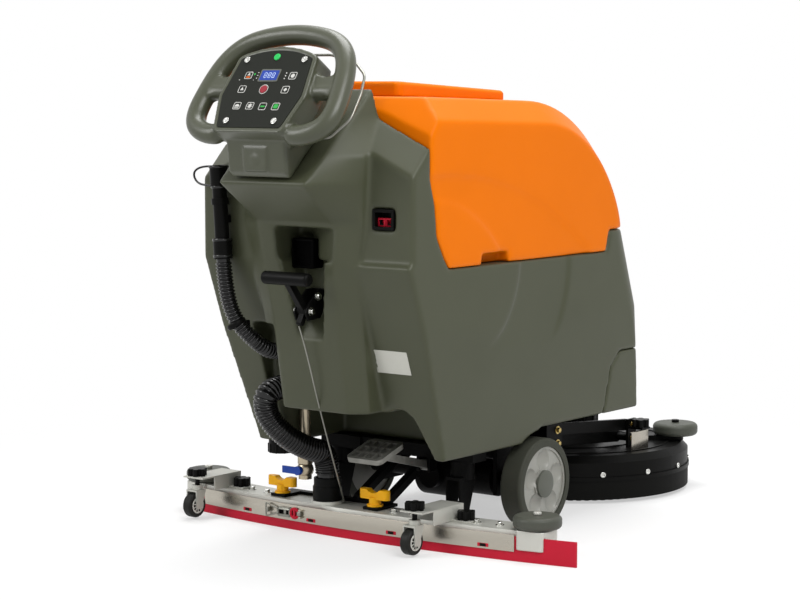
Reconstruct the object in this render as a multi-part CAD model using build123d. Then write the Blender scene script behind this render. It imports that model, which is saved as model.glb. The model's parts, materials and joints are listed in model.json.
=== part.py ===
"""Walk-behind floor scrubber dryer, as an assembly of separate pieces.

Millimetres. +X is the machine's right, +Y is forward, +Z is up. The origin lies on the floor,
under the middle of the machine.
"""

import os
from math import atan2, cos, degrees, pi, radians, sin, sqrt

from build123d import *

# Fits
FIT = 0.05          # radial clearance of a shaft in its bore
GAP = 0.3           # clearance between faces that move past each other
SEAM = 0.5          # joint line between the two tanks and around the front cover

# Body shell (the grey solution tank)
BODY_HALF_WIDTH = 250
BODY_FOOT_HALF_WIDTH = 228
BODY_TAPER_Z = 420
FLOOR_REAR_Z = 176
FLOOR_FRONT_Z = 202
COVER_FOOT_Y = 178
COVER_HEIGHT = 128
BODY_FRONT_Y = 333
FRONT_CORNER_R = 70
FRONT_LEAN_LOW = 0.08       # how far the front leans back, per height, below and above the taper
FRONT_LEAN_HIGH = 0.36
PARTING_Z = 541
LIP_Y = 168
LIP_Z = 584
TANK_REAR_Y = -442
SHOULDER_Z = 766            # outer end of the sloping seam between the shoulder and the tank
SHOULDER_RISE = 0.46        # slope of that seam towards the middle
SHOULDER_INNER = 131        # where the seam meets the column
SHOULDER_FALL = 1.0         # slope of the shoulder towards the rear
WING_Y = -508
WING_KNEE_Z = 550
WING_FOOT_Y = -372
WING_RECESS = 11
WING_LEDGE_Z = 557
WING_PANEL_X = 110
RELIEF_DEPTH = 4
SOCKET_X = BODY_HALF_WIDTH - 68
SOCKET_Z = 635
SOCKET_SIZE = (49, 32, 38)

# Rear column of the body: narrow foot, overhanging chin, slope under the control head, lever recess
COLUMN_FOOT_Z = 264
COLUMN_FOOT_Y = -472
COLUMN_FLAT_HALF = 78
COLUMN_HALF = 121
CHIN_FOOT_Z = 625
CHIN_FOOT_Y = -533
CHIN_Z = 700
CHIN_Y = -627
CHIN_HALF = 102
CREST_Z = 872
CREST_Y = -446
CREST_HALF = 115
HOSE_NOTCH_Z = 430
HOSE_NOTCH_X = (-167, -84)
HOSE_NOTCH_Y = -400
RECESS_TOP_Z = 616
RECESS_LEDGE_Z = 552
RECESS_FOOT_Z = 402
RECESS_BACK_Y = -455
UNDERPASS_LEFT_X = -150
UNDERPASS_RIGHT_X = 178

# Recovery tank (orange) and its lid
TANK_WALL = 6
TANK_TOP_REAR = (-388, 857)
TANK_TOP_FRONT = (-60, 848)
TANK_NOSE = (258, 592)
TANK_CHAMFER = 45
TANK_SKIN = 36              # from the outer side to the hollow, past the reliefs and hand notches
TANK_LIP = 20               # upright band of the tank's rear wall above the seam
TANK_FACET_SLOPE = 1.3
MOUTH_HALF_WIDTH = 105
MOUTH_REAR_Y = -370
MOUTH_FRONT_Y = -80
LID_HALF_WIDTH = 135
LID_FRONT_Y = -40
LID_REAR_HEIGHT = 29
LID_FRONT_HEIGHT = 20
LID_WALL = 5
LID_PIN_Y = -30
LID_PIN_UP = 8.5
HINGE_X = -BODY_HALF_WIDTH - 7
HINGE_Z = 548
HINGE_STATIONS = (-250, 20)
GRIP_NOTCH = (-280, -187)
GRIP_NOTCH_HEIGHT = 21

# Battery bay and what lies in it
BAY_HALF_WIDTH = 176
BAY_REAR_Y = -345
BAY_FRONT_Y = 150
BAY_FLOOR_Z = 300
BATTERY_SIZE = (170, 185, 215)
BATTERY_GAP = 4

# Drive wheels
AXLE_Y = -52
WHEEL_RADIUS = 91
WHEEL_OUTER_X = 242
TYRE_WIDTH = 48
HUB_RADIUS = 74
AXLE_RADIUS = 12
AXLE_TUBE_RADIUS = 18
ARCH_CLEARANCE = 14

# Chassis frame
RAIL_BOTTOM_Z = 150
RAIL_TOP_Z = FLOOR_REAR_Z
RAIL_X = (85, 115)
RAIL_FRONT_Y = 100

# Rear swivel casters
CASTER_X = 150
CASTER_Y = -205
RAIL_REAR_Y = CASTER_Y - 26
CASTER_RADIUS = 36
CASTER_TRAIL = 20
CASTER_WIDTH = 24
CASTER_STEM_R = 10

# Brush deck and its lift arms
DECK_Y = 414
DECK_RADIUS = 256
DECK_TOP_Z = 100
DECK_RIM_Z = 47
DECK_RIM_RADIUS = DECK_RADIUS + 3
DECK_WALL = 4
SKIRT_RADIUS = DECK_RIM_RADIUS - 2
SKIRT_BOTTOM_Z = 8
BRUSH_RADIUS = DECK_RADIUS - DECK_WALL - 8
BRISTLE_BAND = 130
BRUSH_PLATE_Z = 50
MOTOR_RADIUS = 56
MOTOR_TOP_Z = 185
DECK_SHAFT_R = 10
ARM_REAR_Y = 106
ARM_FRONT_Y = 399
ARM_REAR_Z = 172
ARM_FRONT_Z = 146
ARM_SPACING = 28
ARM_PIN_R = 8
UPPER_ARM_X = (146, 157)
LOWER_ARM_X = (119, 130)
ARM_PLATE_X = (160, 166)
DECK_ROLLER_XY = (DECK_RADIUS - 66, DECK_Y + DECK_RADIUS / 2 - 1)
DECK_ROLLER_R = 49
DECK_ROLLER_Z = (110, 137)
DECK_KNOB_XY = (ARM_PLATE_X[1] + 21, ARM_FRONT_Y)
DECK_FLANGE_Z = 140

# Squeegee
SQ_X = -25
SQ_Y = -359
SQ_ARC_R = 2500
SQ_HALF_LENGTH = 446
SQ_DEPTH = 72
SQ_TOP_Z = 57
SQ_FOOT_Z = 22
SQ_WALL = 5
CAP_LENGTH = 58
BLADE_THICK = 4
BLADE_HEIGHT = 47
BLADE_OVERHANG = 62
STRAP_THICK = 2
STRAP_Z = (18, 50)
PORT_X = -90
PORT_Y = -328
PORT_R = 24
PORT_BORE = 20
PORT_TOP_Z = 92
WING_KNOB_SPREAD = 118
WING_KNOB_Y = -326
STUD_R = 5
SQ_PIVOT_Y = -144
SQ_PIVOT_Z = 138
SQ_ARM_X = (-46, 24)
SQ_ARM_HALF = 8
PIVOT_PIN_R = 6
SQ_ROLLER_REACH = SQ_HALF_LENGTH - CAP_LENGTH + 24
SQ_ROLLER_Y = -295
SQ_ROLLER_R = 46
SQ_ROLLER_Z = (SQ_TOP_Z + 3, 84)
SQ_WHEEL_RADIUS = 25
SQ_WHEEL_Z = 28
SQ_WHEEL_TRAIL = 10
SQ_WHEEL_WIDTH = 21
SQ_STEMS = ((-385, -386), (185, -406))
BRACKET_TOP_Z = 84
BRACKET_SHEET = 3
LATCH_X = -128
LATCH_Z = 36
LATCH_LENGTH = 46

# Control head
HEAD_Y = -616
HEAD_Z = 871
HEAD_TILT = 56.4
BEZEL_FOOT = (82, -91)
BEZEL_CHEEK = (104, -14)
BEZEL_SHOULDER = (93, 73)
BEZEL_TOP = 94
BEZEL_DEPTH = 52
PANEL_INSET = 9
NECK_HALF = 70
NECK_CORE_HALF = 50
NECK_GAP = 7
NECK_FOOT_Z = CHIN_Z + 12
PAD_Z = CHIN_Z + 44
PANEL_THICK = 3
RING_RADIUS = 19
RING_SET_BACK = 24
SPOKE_RADIUS = 15
BAIL_SET_BACK = 75
BAIL_WIRE_R = 2.5
BAIL_PIVOT_W = -55
BAIL_ROOT = 86
BAIL_HALF = 158
BAIL_TOP_W = 125
POWER_BUTTON = (0, 70, 7)
STOP_BUTTON = (0, 0, 8)

# Squeegee lift lever
LEVER_PIVOT = (-504, 458)
LEVER_GRIP = (-555, 522)
LEVER_TAIL = (-516, 436)
LEVER_PIN_R = 5
GRIP_LENGTH = 112
GRIP_RADIUS = 12.5

# Hoses, valve and pedal
SUCTION_CREST_R = 24
SUCTION_BORE_R = 18
SUCTION_PITCH = 8
DRAIN_CREST_R = 16
DRAIN_BORE_R = 11
DRAIN_PITCH = 9
DRAIN_CUFF = (-181, WING_Y - 20, 548)
DRAIN_TOP = (-191, WING_Y - 20, 704)
VALVE_XY = (-138, -339)
VALVE_Z = 120
VALVE_REACH = 38
FILTER_XY = (-195, -345)
PEDAL_PIVOT = (-215, 134)
PEDAL_ARM_X = (60, 80)
PEDAL_PLATE_X = (12, 96)
PEDAL_PLATE_Y = (-399, -314)
PEDAL_Z = 172
PEDAL_TILT = 18

nodes = {}


# Drawing helpers
def block(x0, x1, y0, y1, z0, z1):
    return Pos((x0 + x1) / 2, (y0 + y1) / 2, (z0 + z1) / 2) * Box(x1 - x0, y1 - y0, z1 - z0)


def rod(start, end, radius):
    axis = Vector(*end) - Vector(*start)
    return extrude(Plane(origin=start, z_dir=axis) * Circle(radius), amount=axis.length)


def rod_x(x0, x1, y, z, radius):
    return rod((x0, y, z), (x1, y, z), radius)


def pipe(start, end, outer, inner):
    return rod(start, end, outer) - rod(start, end, inner)


def disc(x, y, z0, z1, radius):
    return rod((x, y, z0), (x, y, z1), radius)


def outline(points):
    return make_face(Polyline(*points, close=True))


def prism_x(face, x0, x1):
    return extrude(Plane.YZ.offset(x0) * face, amount=x1 - x0, dir=(1, 0, 0))


def prism_y(face, y0, y1):
    return extrude(Plane.XZ.offset(-y0) * face, amount=y1 - y0, dir=(0, 1, 0))


def prism_z(face, z0, z1):
    return extrude(Plane.XY.offset(z0) * face, amount=z1 - z0)


def prism_lean(face, z0, z1, lean):
    """An upright prism that leans back by a given run per height."""
    height = z1 - z0
    return extrude(Plane.XY.offset(z0) * face, amount=height * sqrt(1 + lean * lean), dir=(0, -lean, 1))


def link(start, end, radius, x0, x1):
    """A flat bar with round ends, standing in a YZ plane between x0 and x1."""
    slot = SlotCenterToCenter((Vector(*end) - Vector(*start)).length, 2 * radius)
    turn = degrees(atan2(end[1] - start[1], end[0] - start[0]))
    middle = ((start[0] + end[0]) / 2, (start[1] + end[1]) / 2)
    return prism_x(Pos(*middle) * Rot(0, 0, turn) * slot, x0, x1)


def mirrored(points):
    """Close a right-hand half outline with its mirror image in X."""
    return points + [(-x, y) for x, y in reversed(points)]


def both_sides(shape):
    return shape + mirror(shape, about=Plane.YZ)


def star_knob(x, y, z0, z1, radius, bore, lobes=6):
    """A moulded knob with round lobes and a blind bore from below."""
    core = disc(x, y, z0, z1, radius * 0.72)
    for lobe in range(lobes):
        angle = 2 * pi * lobe / lobes
        reach = radius * 0.72
        core += disc(x + reach * cos(angle), y + reach * sin(angle), z0, z1, radius * 0.28)
    if bore:
        core -= disc(x, y, z0, z1 - 4, bore)
    return core


# Body shell
def tank_rear_edge(shift):
    """Rear outline of the recovery tank in the side view, from the parting line up."""
    return [
        (TANK_REAR_Y + 58 + shift, PARTING_Z + shift),
        (TANK_REAR_Y + 42 + shift, PARTING_Z + 22 + shift),
        (TANK_REAR_Y + 21 + shift, PARTING_Z + 59),
        (TANK_REAR_Y + 14 + shift, PARTING_Z + 119),
        (TANK_REAR_Y + shift, PARTING_Z + 167),
    ]


def hull_side():
    return outline([
        (WING_FOOT_Y, FLOOR_REAR_Z),
        (AXLE_Y - 51, FLOOR_REAR_Z),
        (AXLE_Y + 5, FLOOR_FRONT_Z),
        (BODY_FRONT_Y + 20, FLOOR_FRONT_Z),
        (BODY_FRONT_Y + 20, LIP_Z),
        (LIP_Y, LIP_Z),
        (LIP_Y - 11, PARTING_Z),
        *tank_rear_edge(0),
        (TANK_REAR_Y, CREST_Z),
        (WING_Y, CREST_Z),
        (WING_Y, WING_KNEE_Z),
    ])


def rounded_plan(rear_y, front_y):
    plan = outline(mirrored([(BODY_HALF_WIDTH, rear_y), (BODY_HALF_WIDTH, front_y)]))
    front = [v for v in plan.vertices() if v.Y > 0]
    return fillet(front, FRONT_CORNER_R)


def taper_front_y():
    return BODY_FRONT_Y - FRONT_LEAN_LOW * (BODY_TAPER_Z - FLOOR_FRONT_Z)


def leaning_plan():
    """Rounded plan of the body, leaning back a little below the taper and more above it."""
    rear_y = WING_Y - 250
    low = rounded_plan(rear_y, BODY_FRONT_Y)
    high = rounded_plan(rear_y, taper_front_y())
    shape = prism_lean(low, FLOOR_FRONT_Z, BODY_TAPER_Z, FRONT_LEAN_LOW)
    shape += prism_lean(high, BODY_TAPER_Z, CREST_Z + 10, FRONT_LEAN_HIGH)
    return shape + prism_z(low, FLOOR_REAR_Z - 1, FLOOR_FRONT_Z)


def above_slope(seam_z, rise, rear_y, along):
    """What lies above a seam that falls to both sides of the column, swept along a slope."""
    reach = BODY_HALF_WIDTH + 50
    low = seam_z - 50 * rise
    peak = low + (reach - SHOULDER_INNER) * rise
    section = outline([
        (reach, low), (SHOULDER_INNER, peak), (-SHOULDER_INNER, peak), (-reach, low),
        (-reach, seam_z + 400), (reach, seam_z + 400),
    ])
    return extrude(Plane.XZ.offset(-rear_y) * section, amount=260, dir=along)


def hull():
    shell = prism_x(hull_side(), -BODY_HALF_WIDTH, BODY_HALF_WIDTH)
    shell &= leaning_plan()
    sides = outline(mirrored([
        (BODY_FOOT_HALF_WIDTH, FLOOR_REAR_Z),
        (BODY_HALF_WIDTH, BODY_TAPER_Z),
        (BODY_HALF_WIDTH, CREST_Z),
    ]))
    shell &= prism_y(sides, WING_Y - 10, BODY_FRONT_Y + 10)
    shell -= above_slope(SHOULDER_Z, SHOULDER_RISE, TANK_REAR_Y, (0, -1, -SHOULDER_FALL))
    panel = prism_x(outline([
        (WING_Y - 10, WING_LEDGE_Z - WING_RECESS),
        (WING_Y, WING_LEDGE_Z - WING_RECESS),
        (WING_Y + WING_RECESS, WING_LEDGE_Z),
        (WING_Y + WING_RECESS, CREST_Z),
        (WING_Y - 10, CREST_Z),
    ]), WING_PANEL_X, BODY_HALF_WIDTH + 10)
    return shell - panel


def seat_y(z):
    """Where the slope that carries the control head lies at a height."""
    return CHIN_Y + (CREST_Y - CHIN_Y) * (z - CHIN_Z) / (CREST_Z - CHIN_Z)


def column_plan(front_y, z, rear_y, flat, half, edge_y):
    return Plane.XY.offset(z) * outline(mirrored([(flat, rear_y), (half, edge_y), (half, front_y)]))


def column():
    """The raked column: from a narrow foot up to the chin, then back along the slope to the crest."""
    waist = (PARTING_Z + 5, CHIN_FOOT_Y + 13, COLUMN_FLAT_HALF + 6, COLUMN_HALF + 7, WING_Y + 3)
    foot = loft([column_plan(TANK_REAR_Y + 50, *section) for section in (
        (COLUMN_FOOT_Z, COLUMN_FOOT_Y, COLUMN_FLAT_HALF, COLUMN_HALF - 11, COLUMN_FOOT_Y + 24),
        (PARTING_Z - 96, CHIN_FOOT_Y + 30, COLUMN_FLAT_HALF - 2, COLUMN_HALF, CHIN_FOOT_Y + 51),
        waist,
    )], ruled=True)
    top = loft([column_plan(TANK_REAR_Y, *section) for section in (
        waist,
        (CHIN_FOOT_Z, CHIN_FOOT_Y, COLUMN_FLAT_HALF + 12, COLUMN_HALF + 21, WING_Y),
        (CHIN_Z, CHIN_Y, CHIN_HALF, COLUMN_HALF + 27, WING_Y),
        (CHIN_Z + 50, seat_y(CHIN_Z + 50), CHIN_HALF + 4, COLUMN_HALF + 29, WING_Y),
        (CHIN_Z + 120, seat_y(CHIN_Z + 120), CHIN_HALF + 10, SHOULDER_INNER, TANK_REAR_Y - 3),
        (CREST_Z, CREST_Y, CREST_HALF, CREST_HALF + 1, TANK_REAR_Y - 2),
    )], ruled=True)
    return foot + top


def lever_recess():
    """Recess of the lift lever: a tapering mouth below, a sloping ramp and a dark hole above."""
    mouth = prism_y(outline([
        (-55, RECESS_TOP_Z), (69, RECESS_TOP_Z), (36, RECESS_FOOT_Z), (-19, RECESS_FOOT_Z),
    ]), CHIN_Y, RECESS_BACK_Y)
    floor = prism_x(outline([
        (CHIN_Y, RECESS_LEDGE_Z),
        (RECESS_BACK_Y, RECESS_LEDGE_Z),
        (RECESS_BACK_Y, RECESS_FOOT_Z + 68),
        (CHIN_FOOT_Y + 39, RECESS_FOOT_Z),
        (CHIN_Y, RECESS_FOOT_Z),
    ]), -70, 70)
    ramp = prism_z(outline([
        (-52, CHIN_Y), (-52, RECESS_BACK_Y), (-20, RECESS_BACK_Y), (95, CHIN_FOOT_Y + 4), (95, CHIN_Y),
    ]), RECESS_LEDGE_Z, RECESS_TOP_Z)
    hole = block(-50, -14, RECESS_BACK_Y - 1, RECESS_BACK_Y + 9, RECESS_LEDGE_Z - 12, RECESS_TOP_Z - 16)
    return (mouth & floor) + ramp + hole


def crescent(outer, inner, side):
    """A shallow crescent between two arcs in a side wall."""
    face = make_face([
        ThreePointArc(*outer),
        Line(outer[2], inner[0]),
        ThreePointArc(*inner),
        Line(inner[2], outer[0]),
    ])
    x = side * (BODY_HALF_WIDTH - RELIEF_DEPTH)
    beyond = side * (BODY_HALF_WIDTH + 50)
    return prism_x(face, min(x, beyond), max(x, beyond))


BODY_CRESCENT = (
    [(-154, PARTING_Z + 1), (-190, 440), (-372, 362)],
    [(-352, 302), (-60, 352), (21, PARTING_Z + 1)],
)
TANK_CRESCENT = (
    [(TANK_REAR_Y - 5, 712), (-200, 690), (98, PARTING_Z)],
    [(-205, PARTING_Z), (-300, 630), (TANK_REAR_Y - 5, 668)],
)


def front_cover_region(grow):
    profile = outline([
        (COVER_FOOT_Y - grow, FLOOR_FRONT_Z - 20),
        (COVER_FOOT_Y + 18 - grow, FLOOR_FRONT_Z + COVER_HEIGHT - 28),
        (COVER_FOOT_Y + 48, FLOOR_FRONT_Z + COVER_HEIGHT + grow),
        (BODY_FRONT_Y + 20, FLOOR_FRONT_Z + COVER_HEIGHT + grow),
        (BODY_FRONT_Y + 20, FLOOR_FRONT_Z - 20),
    ])
    return prism_x(profile, -BODY_HALF_WIDTH - 10, BODY_HALF_WIDTH + 10)


def tank_hinge(fixed):
    """Hinge knuckles on the left wall: outer pair and pin on the body, middle one on the tank."""
    parts = None
    for y in HINGE_STATIONS:
        if fixed:
            spans = [(y - 30, y - 15.3), (y + 15.3, y + 30)]
            piece = rod((HINGE_X, y - 30, HINGE_Z), (HINGE_X, y + 30, HINGE_Z), 3)
            leaf = (PARTING_Z - 25, HINGE_Z)
        else:
            spans = [(y - 15, y + 15)]
            piece = None
            leaf = (HINGE_Z, HINGE_Z + 25)
        for y0, y1 in spans:
            knuckle = rod((HINGE_X, y0, HINGE_Z), (HINGE_X, y1, HINGE_Z), 6)
            knuckle += block(HINGE_X - 6, HINGE_X + 6, y0, y1, *leaf)
            pad_z = (leaf[0], PARTING_Z) if fixed else (HINGE_Z + 4, leaf[1])
            knuckle += block(HINGE_X, -BODY_HALF_WIDTH + RELIEF_DEPTH + 4, y0, y1, *pad_z)
            piece = knuckle if piece is None else piece + knuckle
        if not fixed:
            piece -= rod((HINGE_X, y - 40, HINGE_Z), (HINGE_X, y + 40, HINGE_Z), 3 + FIT)
        parts = piece if parts is None else parts + piece
    return parts


def underpass():
    """The arched opening under the column, with its leaning right edge and raised corner."""
    return prism_y(outline([
        (UNDERPASS_LEFT_X, FLOOR_REAR_Z - 10),
        (UNDERPASS_LEFT_X, COLUMN_FOOT_Z),
        (UNDERPASS_RIGHT_X - 58, COLUMN_FOOT_Z),
        (UNDERPASS_RIGHT_X - 42, COLUMN_FOOT_Z + 8),
        (UNDERPASS_RIGHT_X - 18, COLUMN_FOOT_Z + 8),
        (UNDERPASS_RIGHT_X, COLUMN_FOOT_Z - 8),
        (UNDERPASS_RIGHT_X + 28, FLOOR_REAR_Z),
        (UNDERPASS_RIGHT_X + 28, FLOOR_REAR_Z - 10),
    ]), CHIN_Y, -200)


def hose_notch():
    """The channel beside the column's foot through which both hoses enter the body."""
    return prism_x(outline([
        (CHIN_Y, COLUMN_FOOT_Z - 5),
        (CHIN_Y, HOSE_NOTCH_Z),
        (HOSE_NOTCH_Y - 20, HOSE_NOTCH_Z - 8),
        (HOSE_NOTCH_Y, HOSE_NOTCH_Z - 28),
        (HOSE_NOTCH_Y, COLUMN_FOOT_Z - 5),
    ]), *HOSE_NOTCH_X)


def solution_tank():
    body = hull() + column()
    body -= front_cover_region(SEAM)
    body -= underpass() + hose_notch()
    arch_x = BODY_HALF_WIDTH - 72
    arch_radius = WHEEL_RADIUS + ARCH_CLEARANCE
    body -= both_sides(rod_x(arch_x, BODY_HALF_WIDTH + 20, AXLE_Y, WHEEL_RADIUS, arch_radius))
    body -= socket_pocket(0.2)
    body -= lever_recess()
    for side in (-1, 1):
        body -= crescent(*BODY_CRESCENT, side)
    bay = block(-BAY_HALF_WIDTH, BAY_HALF_WIDTH, BAY_REAR_Y, BAY_FRONT_Y, BAY_FLOOR_Z, PARTING_Z + 10)
    body -= fillet(bay.edges().filter_by(Axis.Z), 4)
    return body + tank_hinge(True)


SOCKET_Y = WING_Y + WING_RECESS - 2


def socket_pocket(grow):
    width, depth, height = SOCKET_SIZE
    side = width / 2 + grow
    rise = height / 2 + grow
    back = SOCKET_Y + depth + grow
    return block(SOCKET_X - side, SOCKET_X + side, SOCKET_Y, back, SOCKET_Z - rise, SOCKET_Z + rise)


def charge_socket():
    frame = socket_pocket(0)
    width, depth, height = SOCKET_SIZE
    side = width / 2 - 6
    rise = height / 2 - 6
    back = SOCKET_Y + depth - 8
    frame -= block(SOCKET_X - side, SOCKET_X + side, SOCKET_Y - 2, back, SOCKET_Z - rise, SOCKET_Z + rise)
    side -= 2
    plug = block(SOCKET_X - side, SOCKET_X + side, SOCKET_Y + 10, back + 0.1, SOCKET_Z - 11, SOCKET_Z + 3)
    for x in (SOCKET_X - 7.5, SOCKET_X + 7.5):
        plug -= block(x - 5, x + 5, SOCKET_Y + 8, SOCKET_Y + 18, SOCKET_Z - 8, SOCKET_Z)
    return frame + plug


# Recovery tank and lid
def tank_top_z(y):
    (y0, z0), (y1, z1) = TANK_TOP_REAR, TANK_TOP_FRONT
    return z0 + (z1 - z0) * (y - y0) / (y1 - y0)


def tank_shoulders(nose_arc, slope):
    """The chamfered envelope of the tank: straight along the top, turned about the nose arc's centre."""
    front_y, front_z = TANK_TOP_FRONT
    shoulder = BODY_HALF_WIDTH - TANK_CHAMFER
    section = outline(mirrored([
        (BODY_HALF_WIDTH, PARTING_Z - 40),
        (BODY_HALF_WIDTH, front_z - TANK_CHAMFER),
        (shoulder, front_z),
    ]))
    back = extrude(Plane.XZ.offset(-front_y) * section, amount=500, dir=(0, -slope.X, -slope.Y))
    centre = nose_arc.arc_center
    radius = nose_arc.radius
    rim = outline(mirrored([
        (BODY_HALF_WIDTH, centre.Y),
        (BODY_HALF_WIDTH, centre.Y + radius - TANK_CHAMFER),
        (shoulder, centre.Y + radius),
    ]))
    return back + revolve(Plane.XZ.offset(-centre.X) * rim, Axis((0, centre.X, centre.Y), (1, 0, 0)))


def recovery_tank():
    seat = PARTING_Z + SEAM
    rear = TANK_REAR_Y + SEAM
    slope = Vector(*TANK_TOP_FRONT) - Vector(*TANK_TOP_REAR)
    nose_arc = TangentArc(TANK_TOP_FRONT, TANK_NOSE, tangent=(slope.X, slope.Y))
    nose_y, nose_z = TANK_NOSE
    profile = make_face([
        Line((rear, tank_top_z(rear)), TANK_TOP_FRONT),
        nose_arc,
        Polyline(
            TANK_NOSE,
            (nose_y, LIP_Z + SEAM),
            (LIP_Y - SEAM, LIP_Z + SEAM),
            (LIP_Y - 11 - SEAM, seat),
            *tank_rear_edge(SEAM),
            (rear, tank_top_z(rear)),
        ),
    ])
    tank = prism_x(profile, -BODY_HALF_WIDTH, BODY_HALF_WIDTH)
    tank &= tank_shoulders(nose_arc, slope)
    tank &= prism_z(rounded_plan(rear, nose_y + 4), 0, CREST_Z)
    tank -= above_slope(SHOULDER_Z + TANK_LIP, SHOULDER_RISE - 0.07, rear, (0, 1, TANK_FACET_SLOPE))
    for side in (-1, 1):
        tank -= crescent(*TANK_CRESCENT, side)
        inner = side * (BODY_HALF_WIDTH - 30)
        beyond = side * (BODY_HALF_WIDTH + 50)
        across = sorted((inner, beyond))
        tank -= block(*across, *GRIP_NOTCH, seat - 1, seat + GRIP_NOTCH_HEIGHT)
    skin = BODY_HALF_WIDTH - TANK_SKIN
    inside = prism_x(outline([
        (rear + TANK_WALL + 4, SHOULDER_Z - 12),
        (TANK_TOP_REAR[0] + 4, tank_top_z(TANK_TOP_REAR[0]) - TANK_WALL - 2),
        (TANK_TOP_FRONT[0], TANK_TOP_FRONT[1] - TANK_WALL - 2),
        (TANK_TOP_FRONT[0] + 140, TANK_TOP_FRONT[1] - 50),
        (nose_y - 90, LIP_Z + 100),
        (nose_y - 40, LIP_Z + 16),
        (LIP_Y, LIP_Z + 16),
        (LIP_Y - 20, seat + TANK_WALL),
        (TANK_REAR_Y + 70, seat + TANK_WALL),
        (TANK_REAR_Y + 36, PARTING_Z + 64),
        (rear + TANK_WALL + 18, PARTING_Z + 130),
        (rear + TANK_WALL + 4, PARTING_Z + 176),
    ]), -skin, skin)
    inside &= prism_y(outline(mirrored([
        (skin, PARTING_Z),
        (skin, SHOULDER_Z + 5),
        (skin - 50, CREST_Z),
    ])), rear, BODY_FRONT_Y)
    tank -= inside
    mouth = (-MOUTH_HALF_WIDTH, MOUTH_HALF_WIDTH, MOUTH_REAR_Y, MOUTH_FRONT_Y)
    tank -= block(*mouth, SHOULDER_Z, CREST_Z + 20)
    for x0, x1 in ((100, 116), (-116, -100)):
        pin_z = tank_top_z(LID_PIN_Y) + LID_PIN_UP
        lug = rod((x0, LID_PIN_Y, pin_z), (x1, LID_PIN_Y, pin_z), 7.5)
        lug += block(x0, x1, LID_PIN_Y - 7.5, LID_PIN_Y + 7.5, pin_z - LID_PIN_UP - 2, pin_z)
        tank += lug - rod((x0 - 1, LID_PIN_Y, pin_z), (x1 + 1, LID_PIN_Y, pin_z), 3 + FIT)
    return tank + tank_hinge(False)


def tank_lid():
    rear_y = TANK_TOP_REAR[0] - 2

    def tray(inset, lift):
        return prism_x(outline([
            (rear_y + inset, tank_top_z(rear_y) + lift),
            (rear_y + inset, tank_top_z(rear_y) + LID_REAR_HEIGHT - inset),
            (LID_FRONT_Y - inset, tank_top_z(LID_FRONT_Y) + LID_FRONT_HEIGHT - inset),
            (LID_FRONT_Y - inset, tank_top_z(LID_FRONT_Y) + lift),
        ]), -LID_HALF_WIDTH + inset, LID_HALF_WIDTH - inset)

    lid = tray(0, GAP)
    lid = fillet(lid.edges().filter_by(Axis.Z), 14)
    lid = chamfer(lid.faces().sort_by(Axis.Z)[-1].edges(), 5)
    lid -= tray(LID_WALL, -5)
    pin_z = tank_top_z(LID_PIN_Y) + LID_PIN_UP
    lid += rod((-118, LID_PIN_Y, pin_z), (118, LID_PIN_Y, pin_z), 3)
    for x0, x1 in ((80, 98), (-98, -80)):
        lid += rod((x0, LID_PIN_Y, pin_z), (x1, LID_PIN_Y, pin_z), 6.5)
        lid += block(x0, x1, LID_FRONT_Y - LID_WALL, LID_PIN_Y, pin_z - 4, pin_z + 5)
    return lid


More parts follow.
